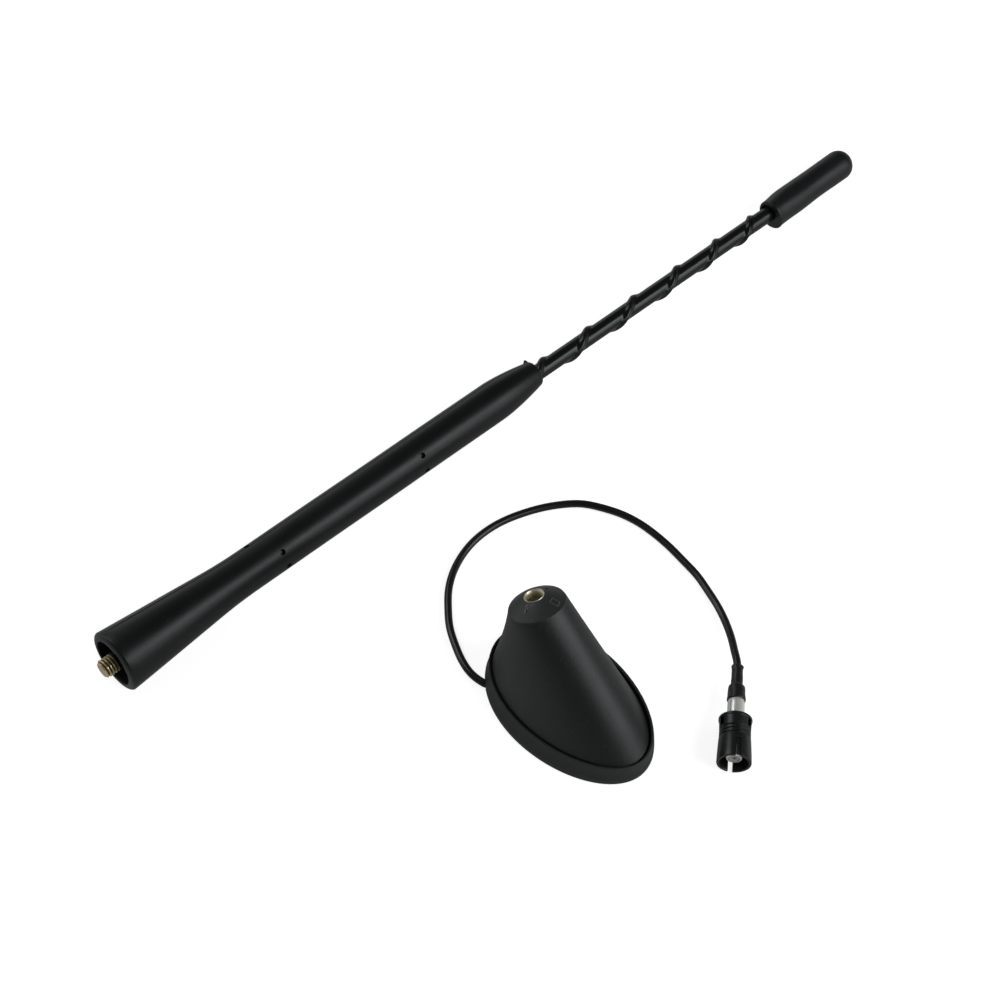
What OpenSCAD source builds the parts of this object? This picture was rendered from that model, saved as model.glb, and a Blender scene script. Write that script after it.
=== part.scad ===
/* [Mast sleeve] */
// Distance from the rim of the flared end to the top of the tip cap
mast_len = 269.5; // [255:0.5:290]
// Length of the moulded sleeve
sleeve_len = 143.1; // [135:0.1:155]
// Radius of the straight part of the sleeve
sleeve_r = 5.6; // [5:0.1:6.5]
// Radius of the flared end
flare_r = 8.5; // [8.4:0.05:9.5]
// Length of the straight taper behind the flared end
taper_len = 32; // [26:1:40]
// Length over which the taper eases into the straight sleeve
ease_len = 11; // [6:1:18]
// How much wider than the sleeve the taper ends
ease_rise = 0.4; // [0.2:0.05:0.8]
// Rounding of the flared rim
lip_round = 1.2; // [0.8:0.05:1.25]
// Radius of the cup in the flared end, at its mouth
cup_r = 7; // [6.8:0.05:7.1]
// Depth of that cup
cup_depth = 3.7; // [3.4:0.1:4.2]
// Length of the rounded shoulder at the upper end of the sleeve
shoulder_len = 15.5; // [10:0.5:22]
// How far the shoulder falls in
shoulder_drop = 1.9; // [1.2:0.1:2]
// Thickness of the lip that closes the sleeve round the whip
end_lip = 3; // [2:0.5:5]
// Radius of the small marks that the mould's pins left
mark_r = 0.75; // [0.5:0.05:1]
// Depth of those marks
mark_depth = 1.2; // [0.6:0.1:1.4]
// Distance of the lower marks from the rim
mark_low = 52; // [48:1:62]
// Distance of the upper marks from the rim
mark_high = 99; // [94:1:108]
// Distance of the side mark from the rim
mark_side = 45.5; // [44:0.5:47]
// Turn of the first marks about the mast
mark_turn = 314; // [300:1:328]
// Turn from the first marks to the second ones
mark_spread = 52; // [40:1:70]

/* [Stud] */
// Outer radius of the mast thread
stud_r = 2.5; // [2:0.05:2.5]
// How far the stud stands out of the flared end
stud_out = 3.3; // [2:0.1:4]
// Radius of the stud's body in the sleeve
body_r = 3.6; // [3.4:0.1:4]
// Length of the stud's body
body_len = 17; // [12:0.5:22]
// Depth of the socket that holds the core
socket_depth = 12; // [8:0.5:14]

/* [Whip] */
// Radius of the glass fibre core
core_r = 1.5; // [1.3:0.05:1.55]
// Outer radius of the jacket between the turns
jacket_r = 2.25; // [2.15:0.05:2.4]
// Wall left between the core and the jacket's plain bore
jacket_ease = 0.17; // [0.15:0.01:0.2]
// Height of the helical ridge over the jacket
ridge_h = 0.7; // [0.6:0.05:0.8]
// Half the angle that the ridge takes up round the jacket
ridge_half = 48; // [44:1:54]
// Pitch of the ridge
ridge_pitch = 16.36; // [14:0.02:22]
// How much the turns crowd together towards the tip
ridge_gather = 1.2; // [0:0.1:1.5]
// Distance from the sleeve's end to the first crest
ridge_start = 4.4; // [1:0.1:6]
// Distance from the last crest to the cap
ridge_stop = 6.2; // [5:0.2:10]
// Turn of the first crest about the mast
ridge_phase = 210; // [0:5:360]
// Radius of the aerial wire under the ridge
wire_r = 0.45; // [0.3:0.05:0.45]
// Radius of the winding inside the sleeve
coil_r = 2.9; // [2.5:0.05:3]

/* [Tip cap] */
// Length of the cap
cap_len = 34; // [33:0.5:40]
// Radius of the cap
cap_r = 4.4; // [4:0.05:4.6]
// How much the cap's waist falls in
cap_waist = 0.15; // [0:0.05:0.3]
// How much the cap's mouth flares
cap_flare = 0.15; // [0:0.05:0.3]
// Radius of the hollow at the cap's mouth
cap_mouth_r = 2.75; // [2.65:0.05:3.2]
// Depth of that hollow
cap_mouth = 1.4; // [0.6:0.1:2.5]
// How far the jacket goes into the cap
cap_grip = 24; // [16:0.5:25]

/* [Base cover] */
// Half the length of the cover at its foot
cover_a = 24.2; // [23.5:0.1:25.5]
// Half the width of the cover at its foot
cover_b = 14.1; // [13.6:0.1:15]
// How much wider the ovals are towards the neck
egg = 0.07; // [0:0.01:0.1]
// Wall of the cover
cover_wall = 2; // [1.6:0.1:2.1]
// How far the sides bow in behind the neck
cover_bow = 0.35; // [0:0.05:0.6]
// How far the nose side swells before the neck
nose_bow = 0.1; // [0:0.02:0.3]
// Height of the cover's upright foot
cover_foot = 2.5; // [2:0.1:3.2]
// How far the neck stands behind the base's middle
neck_back = 12.7; // [11:0.1:14]
// Height of the neck's rim over the cover's slopes
neck_z = 31.3; // [29:0.1:35]
// Lean of the neck
neck_tilt = 24.3; // [20:0.1:28]
// Radius of the neck's rim
neck_r = 7.5; // [7.3:0.01:7.6]
// Height of the rounded cone on the neck
cone_h = 3.28; // [2.8:0.02:3.4]

/* [Mast socket] */
// Radius of the threaded hole, inside the thread
thread_r = 2.1; // [1.7:0.05:2.1]
// Depth of that hole
thread_depth = 7.5; // [6.8:0.1:8]
// Outer radius of the ring that shows
ring_r = 2.6; // [2.5:0.05:2.8]
// How far the ring stands out of the cone
ring_out = 0.17; // [0.05:0.01:0.4]
// Radius of the socket's body in the neck
socket_r = 3.2; // [3.05:0.05:3.5]
// Radius of the socket's foot
foot_r = 4.2; // [3.9:0.1:4.4]
// Height of that foot
foot_h = 1.2; // [0.8:0.1:1.6]
// Radius of the tail that reaches towards the board
tail_r = 1.2; // [0.8:0.1:1.5]
// Length of that tail
tail_len = 8.2; // [6:0.1:9]

/* [Seal and base plate] */
// Half the length of the seal
seal_a = 25.6; // [25.5:0.1:27]
// Half the width of the seal
seal_b = 16.3; // [16:0.1:18]
// Height of the seal's upright edge
seal_edge = 2; // [1.4:0.1:2.6]
// Height of the seal's lip
seal_top = 5.9; // [5.6:0.1:6.6]
// Thickness of the lip
lip_wall = 0.45; // [0.35:0.05:0.6]
// Gap that shows between the lip and the cover
lip_gap = 0.6; // [0.4:0.05:0.7]
// Height of the ledge that carries the cover and the plate
ledge_z = 3; // [2.8:0.1:3.4]
// Width of that ledge
ledge_w = 4.4; // [4:0.1:4.6]
// Thickness of the plate's flange
flange_t = 2; // [1.6:0.1:2.4]
// How far the plate is set back from the roof
plate_lift = 0.8; // [0.4:0.1:1.1]
// Radius of the boss that meets the roof
boss_r = 6; // [5:0.1:6.4]
// Height of that boss
boss_h = 7.5; // [6:0.1:8]
// Radius of the roof bolt's threaded hole, inside the thread
bolt_r = 2.5; // [2:0.05:3]

/* [Screws] */
// Radius of the base screws' shanks
screw_r = 1.3; // [1:0.05:1.4]
// Radius of their heads
head_r = 2.4; // [2:0.05:2.45]
// Height of their heads
head_h = 1.6; // [1.2:0.1:1.8]
// Length of their shanks
screw_len = 7; // [6:0.1:8]
// Outer radius of the bosses that they hold in
screw_boss_r = 2.5; // [2.4:0.05:2.8]
// Distance of the front screw from the base's middle
front_screw = 14.5; // [13.5:0.1:15.5]
// Distance of the rear screws from the base's middle
rear_screw = 14; // [13.5:0.1:14.5]
// Half the distance between the rear screws
rear_half = 3.8; // [3.2:0.1:4]

/* [Board] */
// Length of the amplifier board
board_l = 19; // [17:0.5:20]
// Width of the board
board_w = 11.6; // [10.6:0.1:12]
// Thickness of the board
board_t = 1.2; // [0.8:0.1:1.6]
// Height of the posts that carry the board
post_h = 4; // [3.6:0.1:5]
// Radius of those posts
post_r = 1.9; // [1.7:0.05:2.1]
// Radius of the small screws in the posts
pin_screw_r = 0.8; // [0.6:0.05:1]
// Thickness of the contact strip
strip_t = 0.3; // [0.2:0.05:0.5]
// Width of the contact strip
strip_w = 3; // [2:0.1:3.6]

/* [Lead] */
// Radius of the lead
lead_r = 1; // [0.8:0.05:1]
// Radius of the bend under the base
bend_r = 4; // [3:0.1:4.5]

/* [Plug] */
// Height of the plug's axis, which is its mouth's radius
mouth_r = 4.32; // [4.2:0.02:4.6]
// Length from the mouth to the flange's back
shell_len = 12.7; // [12:0.1:14]
// Radius of the flange
rim_r = 4.14; // [4:0.02:4.2]
// Thickness of the flange
rim_t = 0.8; // [0.5:0.1:1.2]
// Radius of the shroud where it meets the rings
shroud_r = 4; // [3.9:0.02:4.1]
// Length of the shroud
shroud_len = 8.2; // [7.6:0.1:8.4]
// Wall of the shroud at its mouth
shroud_wall = 0.75; // [0.6:0.05:0.9]
// Width of the two slots in the shroud
slot_w = 1.25; // [0.8:0.05:1.6]
// Length of those slots
slot_len = 4.5; // [3:0.1:5.5]
// Turn of the slots about the plug
slot_turn = 10; // [0:1:30]
// Radius of the silver barrel
barrel_r = 2.15; // [2.1:0.05:2.4]
// Length of barrel that shows behind the flange
barrel_bare = 5.4; // [4.5:0.1:6.5]
// Distance from the mouth back to the contact's front
front_back = 1.4; // [1:0.1:2.5]
// Length of the wide part of the shrink sleeve
sleeve_wide = 4.3; // [3.8:0.1:5]
// Length of its narrow part
sleeve_thin = 5.8; // [4:0.1:7]
// Width of the pockets in the plug's sides
pocket_wide = 0.8; // [0.5:0.05:0.9]
// Distance of the pockets from the plug's axis
pocket_in = 2.95; // [2.8:0.05:3]
// Depth of the pockets under the plug's axis
pocket_deep = 1; // [0:0.1:1.5]
// Wall of the shrink sleeve
shrink_wall = 0.35; // [0.25:0.05:0.45]

/* [Clearances] */
// Gap between parts that seat in each other
fit_gap = 0.1; // [0.06:0.01:0.12]
// Gap at the end of a part in its hole
end_gap = 0.3; // [0.2:0.05:0.4]

/* [Hidden] */
$fn = 64;

// Where the loose mast lies beside the base
mast_at = [-81.6, -79.6];
mast_turn = 0.8;
// Where the plug lies
plug_at = [39.8, 17.3];
plug_turn = 133.2;

// Stations along the mast, from the flared rim
cap_z = mast_len - cap_len;
cap_rest = mast_len - cap_r;
mast_tilt = atan((flare_r - cap_r) / (cap_rest - lip_round));
mast_h = flare_r * cos(mast_tilt) + lip_round * sin(mast_tilt);
neck_end = cup_depth + 1.5;
body_end = neck_end + body_len;
core_z = body_end - socket_depth;
jacket_z = sleeve_len - end_lip - 5;
jacket_end = cap_z + cap_grip;
core_end = jacket_end + 4;
first_crest = sleeve_len + ridge_start;
last_crest = cap_z - ridge_stop;
ridge_end = cap_z - 0.5;
ridge_fade = 3.5;
ridge_turns = (last_crest - first_crest) / ridge_pitch;
jacket_rings = 80;

// Points round the jacket, measured from the ridge's crest
ridge_side = [0, 0.25, 0.5, 0.75, 1];
plain_side = 4;
ridge_angles = [
    for (s = ridge_side) s * ridge_half,
    for (k = [1 : plain_side - 1]) ridge_half + (180 - ridge_half) * k / plain_side,
    for (k = [plain_side : -1 : 1]) 360 - ridge_half - (180 - ridge_half) * k / plain_side,
    for (k = [3 : -1 : 1]) 360 - ridge_side[k] * ridge_half,
];
round_count = len(ridge_angles);

function unit(v) = v / norm(v);
function mix(a, b, t) = a * (1 - t) + b * t;
function clamp01(x) = min(1, max(0, x));

// Faces between rings of equal count, each ring further along than the last
function quad_faces(i, k, n, slant) =
    let (a = i * n, b = k * n)
    [for (j = [0 : n - 1]) let (m = (j + 1) % n)
        each slant
            ? [[a + j, b + j, b + m], [a + j, b + m, a + m]]
            : [[a + j, b + j, a + m], [a + m, b + j, b + m]]];

function cap_faces(count, n) = [
    [for (j = [0 : n - 1]) j],
    [for (j = [n - 1 : -1 : 0]) (count - 1) * n + j],
];

// A solid through a list of rings, closed at both ends
module ring_solid(rings) {
    n = len(rings[0]);
    polyhedron(
        points = [for (r = rings) each r],
        faces = concat(
            [for (i = [0 : len(rings) - 2]) each quad_faces(i, i + 1, n, true)],
            cap_faces(len(rings), n)
        ),
        convexity = 6
    );
}

// A hollow solid: its rings go up the outside and come back down the inside
module ring_shell(rings, up_count) {
    n = len(rings[0]);
    count = len(rings);
    polyhedron(
        points = [for (r = rings) each r],
        faces = [for (i = [0 : count - 1]) each quad_faces(i, (i + 1) % count, n, i < up_count - 1)],
        convexity = 8
    );
}

// A round bar swept along points, with the direction that each ring starts from
function bar_ring(p, t, ref, r, n) =
    let (u = unit(ref - (ref * t) * t), v = cross(t, u))
    [for (k = [0 : n - 1]) p + r * (cos(360 * k / n) * u + sin(360 * k / n) * v)];

function bar_rings(points, refs, r, n, dir_in, dir_out) =
    let (last = len(points) - 1)
    [for (i = [0 : last])
        let (t = i == 0 ? dir_in : i == last ? dir_out : unit(points[i + 1] - points[i - 1]))
        bar_ring(points[i], t, refs[i], r, n)];

// Mast

module on_mast() {
    translate([mast_at[0], mast_at[1], mast_h])
        rotate([0, 0, mast_turn])
            rotate([-90 - mast_tilt, 0, 0])
                children();
}

function taper_r(z) = mix(flare_r, sleeve_r + ease_rise, (z - lip_round) / (taper_len - lip_round));

function shoulder_r(t) = sleeve_r - shoulder_drop * pow(t, 1.6);

ease_steps = 5;
shoulder_steps = 8;
end_round = 0.4;

module sleeve_profile() {
    polygon([
        [cup_r, 0],
        for (a = [0 : 15 : 90]) [flare_r - lip_round + lip_round * sin(a), lip_round - lip_round * cos(a)],
        [taper_r(taper_len), taper_len],
        for (k = [1 : ease_steps]) let (t = k / ease_steps)
            [sleeve_r + ease_rise * pow(1 - t, 2), taper_len + ease_len * t],
        for (k = [0 : shoulder_steps]) let (t = k / shoulder_steps)
            [shoulder_r(t), sleeve_len - shoulder_len + (shoulder_len - end_round) * t],
        [shoulder_r(1) - end_round, sleeve_len],
        [jacket_r + fit_gap, sleeve_len],
        [jacket_r + fit_gap, sleeve_len - end_lip],
        [coil_r + fit_gap, sleeve_len - end_lip],
        [coil_r + fit_gap, body_end + fit_gap],
        [body_r + fit_gap, body_end + fit_gap],
        [body_r + fit_gap, neck_end - fit_gap],
        [collar_r + fit_gap, neck_end - fit_gap],
        [collar_r + fit_gap, cup_depth],
    ]);
}

// Turns of the ridge up to a station, counted from its first crest
function crest_turns(z) =
    let (t = (min(z, cap_z) - first_crest) / (last_crest - first_crest))
    ridge_turns * t - ridge_gather * t * t * (1 - t);

function crest_angle(z) = ridge_phase - 360 * crest_turns(z);

function ridge_lift(a) =
    let (d = min(a, 360 - a))
    d < ridge_half ? pow(cos(90 * d / ridge_half), 2) : 0;

function ridge_scale(z) = clamp01((ridge_end - z) / ridge_fade);

// A ring of the jacket: a plain radius, with the ridge's lift at its crest
function jacket_ring(r, lift, z) = [
    for (a = ridge_angles)
        let (d = r + lift * ridge_scale(z) * ridge_lift(a), turn = crest_angle(z) + a)
        [d * cos(turn), d * sin(turn), z]
];

function jacket_station(k) = mix(jacket_z, cap_z, k / (jacket_rings - 1));

key_steps = 5;
key_grow = 0.2;
key_over = 0.4;
key_z = sleeve_len - end_lip - key_over;
// The pins' marks: distance from the rim, and turn about the mast
marks = [
    for (z = [mark_low, mark_high], turn = [0, mark_spread]) [z, mark_turn + turn],
    [mark_side, mark_turn - 87]
];

module mast_sleeve() {
    color([0.11, 0.11, 0.11])
        on_mast()
            difference() {
                rotate_extrude() sleeve_profile();
                ring_solid([for (k = [0 : key_steps])
                    jacket_ring(jacket_r, ridge_h + key_grow, key_z + (end_lip + 2 * key_over) * k / key_steps)]);
                for (m = marks)
                    rotate([0, 0, m[1]])
                        translate([sleeve_r - mark_depth, 0, m[0]])
                            rotate([0, 90, 0])
                                cylinder(r = mark_r, h = sleeve_r);
            }
}

collar_r = 2.95;
thread_relief = 0.5;

module mast_stud() {
    color([0.72, 0.62, 0.36])
        on_mast()
            rotate_extrude()
                polygon([
                    [0, -stud_out],
                    [stud_r - 0.4, -stud_out],
                    [stud_r, 0.4 - stud_out],
                    [stud_r, cup_depth - thread_relief],
                    [stud_r - 0.3, cup_depth - thread_relief],
                    [stud_r - 0.3, cup_depth],
                    [collar_r, cup_depth],
                    [collar_r, neck_end],
                    [body_r, neck_end],
                    for (k = [1 : 2], s = [0 : 3])
                        [body_r - (s == 1 || s == 2 ? 0.4 : 0), neck_end + body_len * k / 3 + (s < 2 ? 0 : 1.2)],
                    [body_r, body_end],
                    [core_r + fit_gap, body_end],
                    [core_r + fit_gap, core_z],
                    [0, core_z],
                ]);
}

module whip_core() {
    color([0.85, 0.82, 0.7])
        on_mast()
            translate([0, 0, core_z])
                cylinder(r = core_r, h = core_end - core_z);
}

module loading_coil() {
    color([0.6, 0.3, 0.15])
        on_mast()
            translate([0, 0, body_end + end_gap])
                difference() {
                    cylinder(r = coil_r, h = jacket_z - body_end - 2 * end_gap);
                    translate([0, 0, -1])
                        cylinder(r = core_r + fit_gap, h = jacket_z);
                }
}

wire_gap = 0.08;
wire_lay = core_r + wire_gap + wire_r;
wire_points = [
    for (k = [0 : jacket_rings - 1]) let (z = jacket_station(k))
        if (z < ridge_end - ridge_fade)
            [wire_lay * cos(crest_angle(z)), wire_lay * sin(crest_angle(z)), z]
];

module radiator_wire() {
    last = len(wire_points) - 1;
    color([0.6, 0.3, 0.15])
        on_mast()
            ring_solid(bar_rings(
                wire_points,
                [for (p = wire_points) [p[0], p[1], 0]],
                wire_r, 6,
                unit(wire_points[1] - wire_points[0]),
                unit(wire_points[last] - wire_points[last - 1])
            ));
}

channel_lift = 2 * (wire_r + wire_gap) - jacket_ease;

module whip_jacket() {
    color([0.09, 0.09, 0.09])
        on_mast()
            ring_shell(concat(
                [for (k = [0 : jacket_rings - 1]) jacket_ring(jacket_r, ridge_h, jacket_station(k))],
                [jacket_ring(jacket_r, ridge_h, jacket_end)],
                [jacket_ring(core_r + jacket_ease, channel_lift, jacket_end)],
                [for (k = [jacket_rings - 1 : -1 : 0])
                    jacket_ring(core_r + jacket_ease, channel_lift, jacket_station(k))]
            ), jacket_rings + 1);
}

module tip_cap() {
    bore = jacket_r + fit_gap;
    color([0.1, 0.11, 0.11])
        on_mast()
            rotate_extrude()
                polygon([
                    [cap_mouth_r, cap_z],
                    [cap_r + cap_flare - 0.3, cap_z],
                    [cap_r + cap_flare, cap_z + 0.4],
                    for (k = [1 : 6]) let (t = k / 7)
                        [cap_r + cap_flare * pow(1 - t, 3) - cap_waist * pow(sin(180 * t), 2),
                         mix(cap_z, cap_rest, t)],
                    for (a = [0 : 10 : 80]) [cap_r * cos(a), cap_rest + cap_r * sin(a)],
                    [0, mast_len],
                    [0, core_end + end_gap],
                    [core_r + fit_gap, core_end + end_gap],
                    [core_r + fit_gap, jacket_end + end_gap],
                    [bore, jacket_end + end_gap],
                    [bore, cap_z + cap_mouth],
                    [cap_mouth_r, cap_z + cap_mouth],
                ]);
}

// Base

oval_count = 60;
skirt_z = ledge_z + cover_foot;
plate_top = ledge_z + flange_t;

function oval(a, b, t) = [a * cos(t), b * (1 - egg * cos(t)) * sin(t)];
function oval_points(a, b) = [for (k = [0 : oval_count - 1]) oval(a, b, 360 * k / oval_count)];
function oval_ring(a, b, z) = [for (p = oval_points(a, b)) [p[0], p[1], z]];

neck_mid = [-neck_back, 0, neck_z];
neck_out = [-sin(neck_tilt), 0, cos(neck_tilt)];
neck_side = [cos(neck_tilt), 0, sin(neck_tilt)];

function neck_ring(r, h) = [
    for (k = [0 : oval_count - 1]) let (t = 360 * k / oval_count)
        neck_mid + neck_side * (r * cos(t)) + [0, r * sin(t), 0] + neck_out * h
];

// The cover's skin runs straight from the foot oval up to the neck's circle
function skin_ring(u, inset) =
    let (foot = oval_ring(cover_a - inset, cover_b - inset, skirt_z), top = neck_ring(neck_r - inset, 0))
    [for (k = [0 : oval_count - 1])
        let (
            rear = (1 - cos(360 * k / oval_count)) / 2,
            w = u + u * (1 - u) * (cover_bow * rear - nose_bow * (1 - rear))
        )
        [mix(foot[k][0], top[k][0], w), mix(foot[k][1], top[k][1], w), mix(foot[k][2], top[k][2], u)]];

module on_neck() {
    translate(neck_mid)
        rotate([0, -neck_tilt, 0])
            children();
}

hole_r = ring_r + fit_gap;
pocket_r = socket_r + fit_gap;
pocket_top = cone_h - 1.6;
ceiling_u = 0.86;
ceiling_h = -4.5;
rim_step = 0.2;
cone_steps = [[1, 0.075], [0.933, 0.23], [0.684, 0.49], [0.386, 0.75], [0.137, 0.93]];
skin_steps = [0, 0.04, 0.1, 0.2, 0.35, 0.5, 0.65, 0.8, 0.92, 1];
inner_steps = [ceiling_u, 0.65, 0.45, 0.25, 0.1, 0];

cover_rings = concat(
    [oval_ring(cover_a, cover_b, ledge_z)],
    [for (u = skin_steps) skin_ring(u, 0)],
    [for (s = cone_steps) neck_ring(mix(hole_r, neck_r - rim_step, s[0]), cone_h * s[1])],
    [neck_ring(hole_r, cone_h), neck_ring(hole_r, pocket_top)],
    [neck_ring(pocket_r, pocket_top), neck_ring(pocket_r, ceiling_h)],
    [neck_ring(foot_r + end_gap, ceiling_h)],
    [for (u = inner_steps) skin_ring(u, cover_wall)],
    [oval_ring(cover_a - cover_wall, cover_b - cover_wall, ledge_z)]
);

screw_at = [[front_screw, 0], [-rear_screw, rear_half], [-rear_screw, -rear_half]];
screw_seat = plate_lift + head_h + 0.4;
socket_foot = ceiling_h - fit_gap;
// The screw bosses end under the socket's foot
boss_reach = neck_z + (socket_foot - foot_h) * cos(neck_tilt) - foot_r * sin(neck_tilt) - end_gap;

module base_cover() {
    color([0.12, 0.12, 0.125])
        difference() {
            union() {
                ring_shell(cover_rings, len(cover_rings));
                intersection() {
                    for (p = screw_at)
                        translate([p[0], p[1], plate_top])
                            cylinder(r = screw_boss_r, h = boss_reach - plate_top);
                    ring_solid([
                        oval_ring(cover_a - cover_wall / 2, cover_b - cover_wall / 2, ledge_z),
                        for (u = [0, 0.2, 0.4, 0.6, 0.9]) skin_ring(u, cover_wall / 2)
                    ]);
                }
            }
            for (p = screw_at)
                translate([p[0], p[1], plate_top - 1])
                    cylinder(r = screw_r + fit_gap, h = screw_seat + screw_len - plate_top + 1 + end_gap);
        }
}

module mast_socket() {
    top = cone_h + ring_out;
    color([0.8, 0.74, 0.55])
        on_neck()
            rotate_extrude()
                polygon([
                    [thread_r, top - thread_depth],
                    [thread_r, top - 0.35],
                    [thread_r + 0.3, top],
                    [ring_r - 0.1, top],
                    [ring_r, top - 0.1],
                    [ring_r, pocket_top - fit_gap],
                    [socket_r, pocket_top - fit_gap],
                    for (k = [1 : 2], s = [0 : 3])
                        [socket_r - (s == 1 || s == 2 ? 0.3 : 0),
                         mix(pocket_top - fit_gap, socket_foot, k / 3) - (s < 2 ? 0 : 0.8)],
                    [socket_r, socket_foot],
                    [foot_r, socket_foot],
                    [foot_r, socket_foot - foot_h],
                    [tail_r, socket_foot - foot_h],
                    [tail_r, socket_foot - foot_h - tail_len],
                    [0, socket_foot - foot_h - tail_len],
                    [0, top - thread_depth],
                ]);
}

// The lead's way out: down through the plate, then along a channel under the seal
lead_hole = [-7.5, -6.2];
lead_way = 203;
lead_dir = [cos(lead_way), sin(lead_way)];
lead_run = 13;
lead_exit = lead_hole + lead_dir * lead_run;

module lead_channel(gap, length) {
    translate([lead_hole[0], lead_hole[1], 0])
        rotate([0, 0, lead_way]) {
            translate([0, 0, lead_r])
                rotate([0, 90, 0])
                    cylinder(r = lead_r + gap, h = length);
            translate([0, -lead_r - gap, -1])
                cube([length, 2 * (lead_r + gap), lead_r + 1]);
        }
}

seat_a = cover_a + lip_gap;
seat_b = cover_b + lip_gap;
open_a = seat_a - ledge_w;
open_b = seat_b - ledge_w;

module base_seal() {
    color([0.13, 0.13, 0.13])
        difference() {
            ring_shell([
                oval_ring(seal_a, seal_b, 0),
                oval_ring(seal_a, seal_b, seal_edge * 0.7),
                oval_ring(seal_a - 0.25, seal_b - 0.25, seal_edge),
                oval_ring(seat_a + lip_wall + 0.05, seat_b + lip_wall + 0.15, seal_top - 0.35),
                oval_ring(seat_a + lip_wall - 0.15, seat_b + lip_wall - 0.1, seal_top),
                oval_ring(seat_a + 0.05, seat_b + 0.05, seal_top),
                oval_ring(seat_a, seat_b, seal_top - 0.2),
                oval_ring(seat_a, seat_b, ledge_z),
                oval_ring(open_a, open_b, ledge_z),
                oval_ring(open_a, open_b, 0)
            ], 10);
            lead_channel(fit_gap, 2 * lead_run);
        }
}

post_at = [[6.5, -3.6], [-7, 3.6]];
post_top = plate_top + post_h;

module base_plate() {
    color([0.62, 0.63, 0.64])
        difference() {
            union() {
                translate([0, 0, ledge_z])
                    linear_extrude(flange_t)
                        polygon(oval_points(cover_a - cover_wall - end_gap, cover_b - cover_wall - end_gap));
                translate([0, 0, plate_lift])
                    linear_extrude(ledge_z - plate_lift + flange_t / 2)
                        polygon(oval_points(open_a - end_gap, open_b - end_gap));
                cylinder(r = boss_r, h = boss_h);
                for (p = post_at)
                    translate([p[0], p[1], ledge_z])
                        cylinder(r = post_r, h = flange_t + post_h);
            }
            translate([0, 0, -1])
                cylinder(r = bolt_r, h = boss_h + 2);
            for (p = screw_at)
                translate([p[0], p[1], 0]) {
                    cylinder(r = head_r + fit_gap, h = screw_seat);
                    cylinder(r = screw_r + 2 * fit_gap, h = plate_top + 1);
                }
            for (p = post_at)
                translate([p[0], p[1], plate_top])
                    cylinder(r = pin_screw_r + fit_gap, h = post_h + 1);
            lead_channel(2 * fit_gap, 2 * lead_run);
            translate([lead_hole[0], lead_hole[1], -1])
                rotate([0, 0, lead_way])
                    hull() {
                        cylinder(r = lead_r + 2 * fit_gap, h = plate_top + 2, $fn = 32);
                        translate([bend_r, 0, 0])
                            cylinder(r = lead_r + 2 * fit_gap, h = plate_top + 2, $fn = 32);
                    }
        }
}

module cross_cut(r, depth) {
    for (turn = [0, 90])
        rotate([0, 0, turn])
            translate([-r * 0.6, -r * 0.13, -1])
                cube([r * 1.2, r * 0.26, depth + 1]);
}

module plate_screws() {
    color([0.55, 0.55, 0.57])
        for (p = screw_at)
            translate([p[0], p[1], screw_seat - head_h])
                difference() {
                    union() {
                        cylinder(r = head_r, h = head_h);
                        cylinder(r = screw_r, h = head_h + screw_len);
                    }
                    cross_cut(head_r, head_h * 0.6);
                }
}

board_x = -0.5;

module circuit_board() {
    color([0.1, 0.35, 0.2])
        difference() {
            translate([board_x - board_l / 2, -board_w / 2, post_top])
                cube([board_l, board_w, board_t]);
            for (p = post_at)
                translate([p[0], p[1], post_top - 1])
                    cylinder(r = pin_screw_r + fit_gap, h = board_t + 2);
        }
}

board_top = post_top + board_t;

module board_parts() {
    color([0.3, 0.3, 0.32])
        translate([0, 0, board_top]) {
            translate([-2.5, 2.2, 0])
                cube([6, 3, 1.8]);
            translate([-6.5, -3.3, 0])
                cylinder(r = 1.4, h = 2.4);
            translate([-1.5, -4.4, 0])
                cube([2, 1.3, 1]);
            translate([2, -4.4, 0])
                cube([1.3, 2, 0.8]);
        }
}

module board_screws() {
    color([0.7, 0.7, 0.72])
        for (p = post_at)
            translate([p[0], p[1], board_top])
                difference() {
                    union() {
                        cylinder(r = 2 * pin_screw_r, h = pin_screw_r);
                        translate([0, 0, -board_t - post_h / 2])
                            cylinder(r = pin_screw_r, h = board_t + post_h / 2 + 0.1);
                    }
                    translate([-2 * pin_screw_r, -0.15, pin_screw_r * 0.5])
                        cube([4 * pin_screw_r, 0.3, 1]);
                }
}

// The strip's centre line, from its pad on the board to the plate under the socket's tail
tail_tip = neck_mid + neck_out * (socket_foot - foot_h - tail_len - strip_t / 2);
strip_line = [
    [-3.5, board_top + strip_t / 2],
    [3.2, board_top + strip_t / 2],
    [4.1, board_top + 0.7],
    [4.2, board_top + 1.8],
    [3.2, board_top + 2.8],
    [tail_tip[0] + neck_side[0] * 2.1, tail_tip[2] + neck_side[2] * 2.1 - 0.1],
    [tail_tip[0] + neck_side[0] * 1.5, tail_tip[2] + neck_side[2] * 1.5],
    [tail_tip[0] - neck_side[0] * 1.5, tail_tip[2] - neck_side[2] * 1.5],
];

function line_side(line, i, d) =
    let (
        a = i == 0 ? line[1] - line[0] : unit(line[i] - line[i - 1]),
        b = i == len(line) - 1 ? a : unit(line[i + 1] - line[i]),
        t = unit(unit(a) + unit(b)),
        grow = 1 / max(0.5, t * unit(b))
    )
    line[i] + [-t[1], t[0]] * d * grow;

module contact_strip() {
    last = len(strip_line) - 1;
    color([0.75, 0.6, 0.35])
        translate([0, strip_w / 2, 0])
            rotate([90, 0, 0])
                linear_extrude(strip_w)
                    polygon(concat(
                        [for (i = [0 : last]) line_side(strip_line, i, strip_t / 2)],
                        [for (i = [last : -1 : 0]) line_side(strip_line, i, -strip_t / 2)]
                    ));
}

clamp_h = 2.4;

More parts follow.
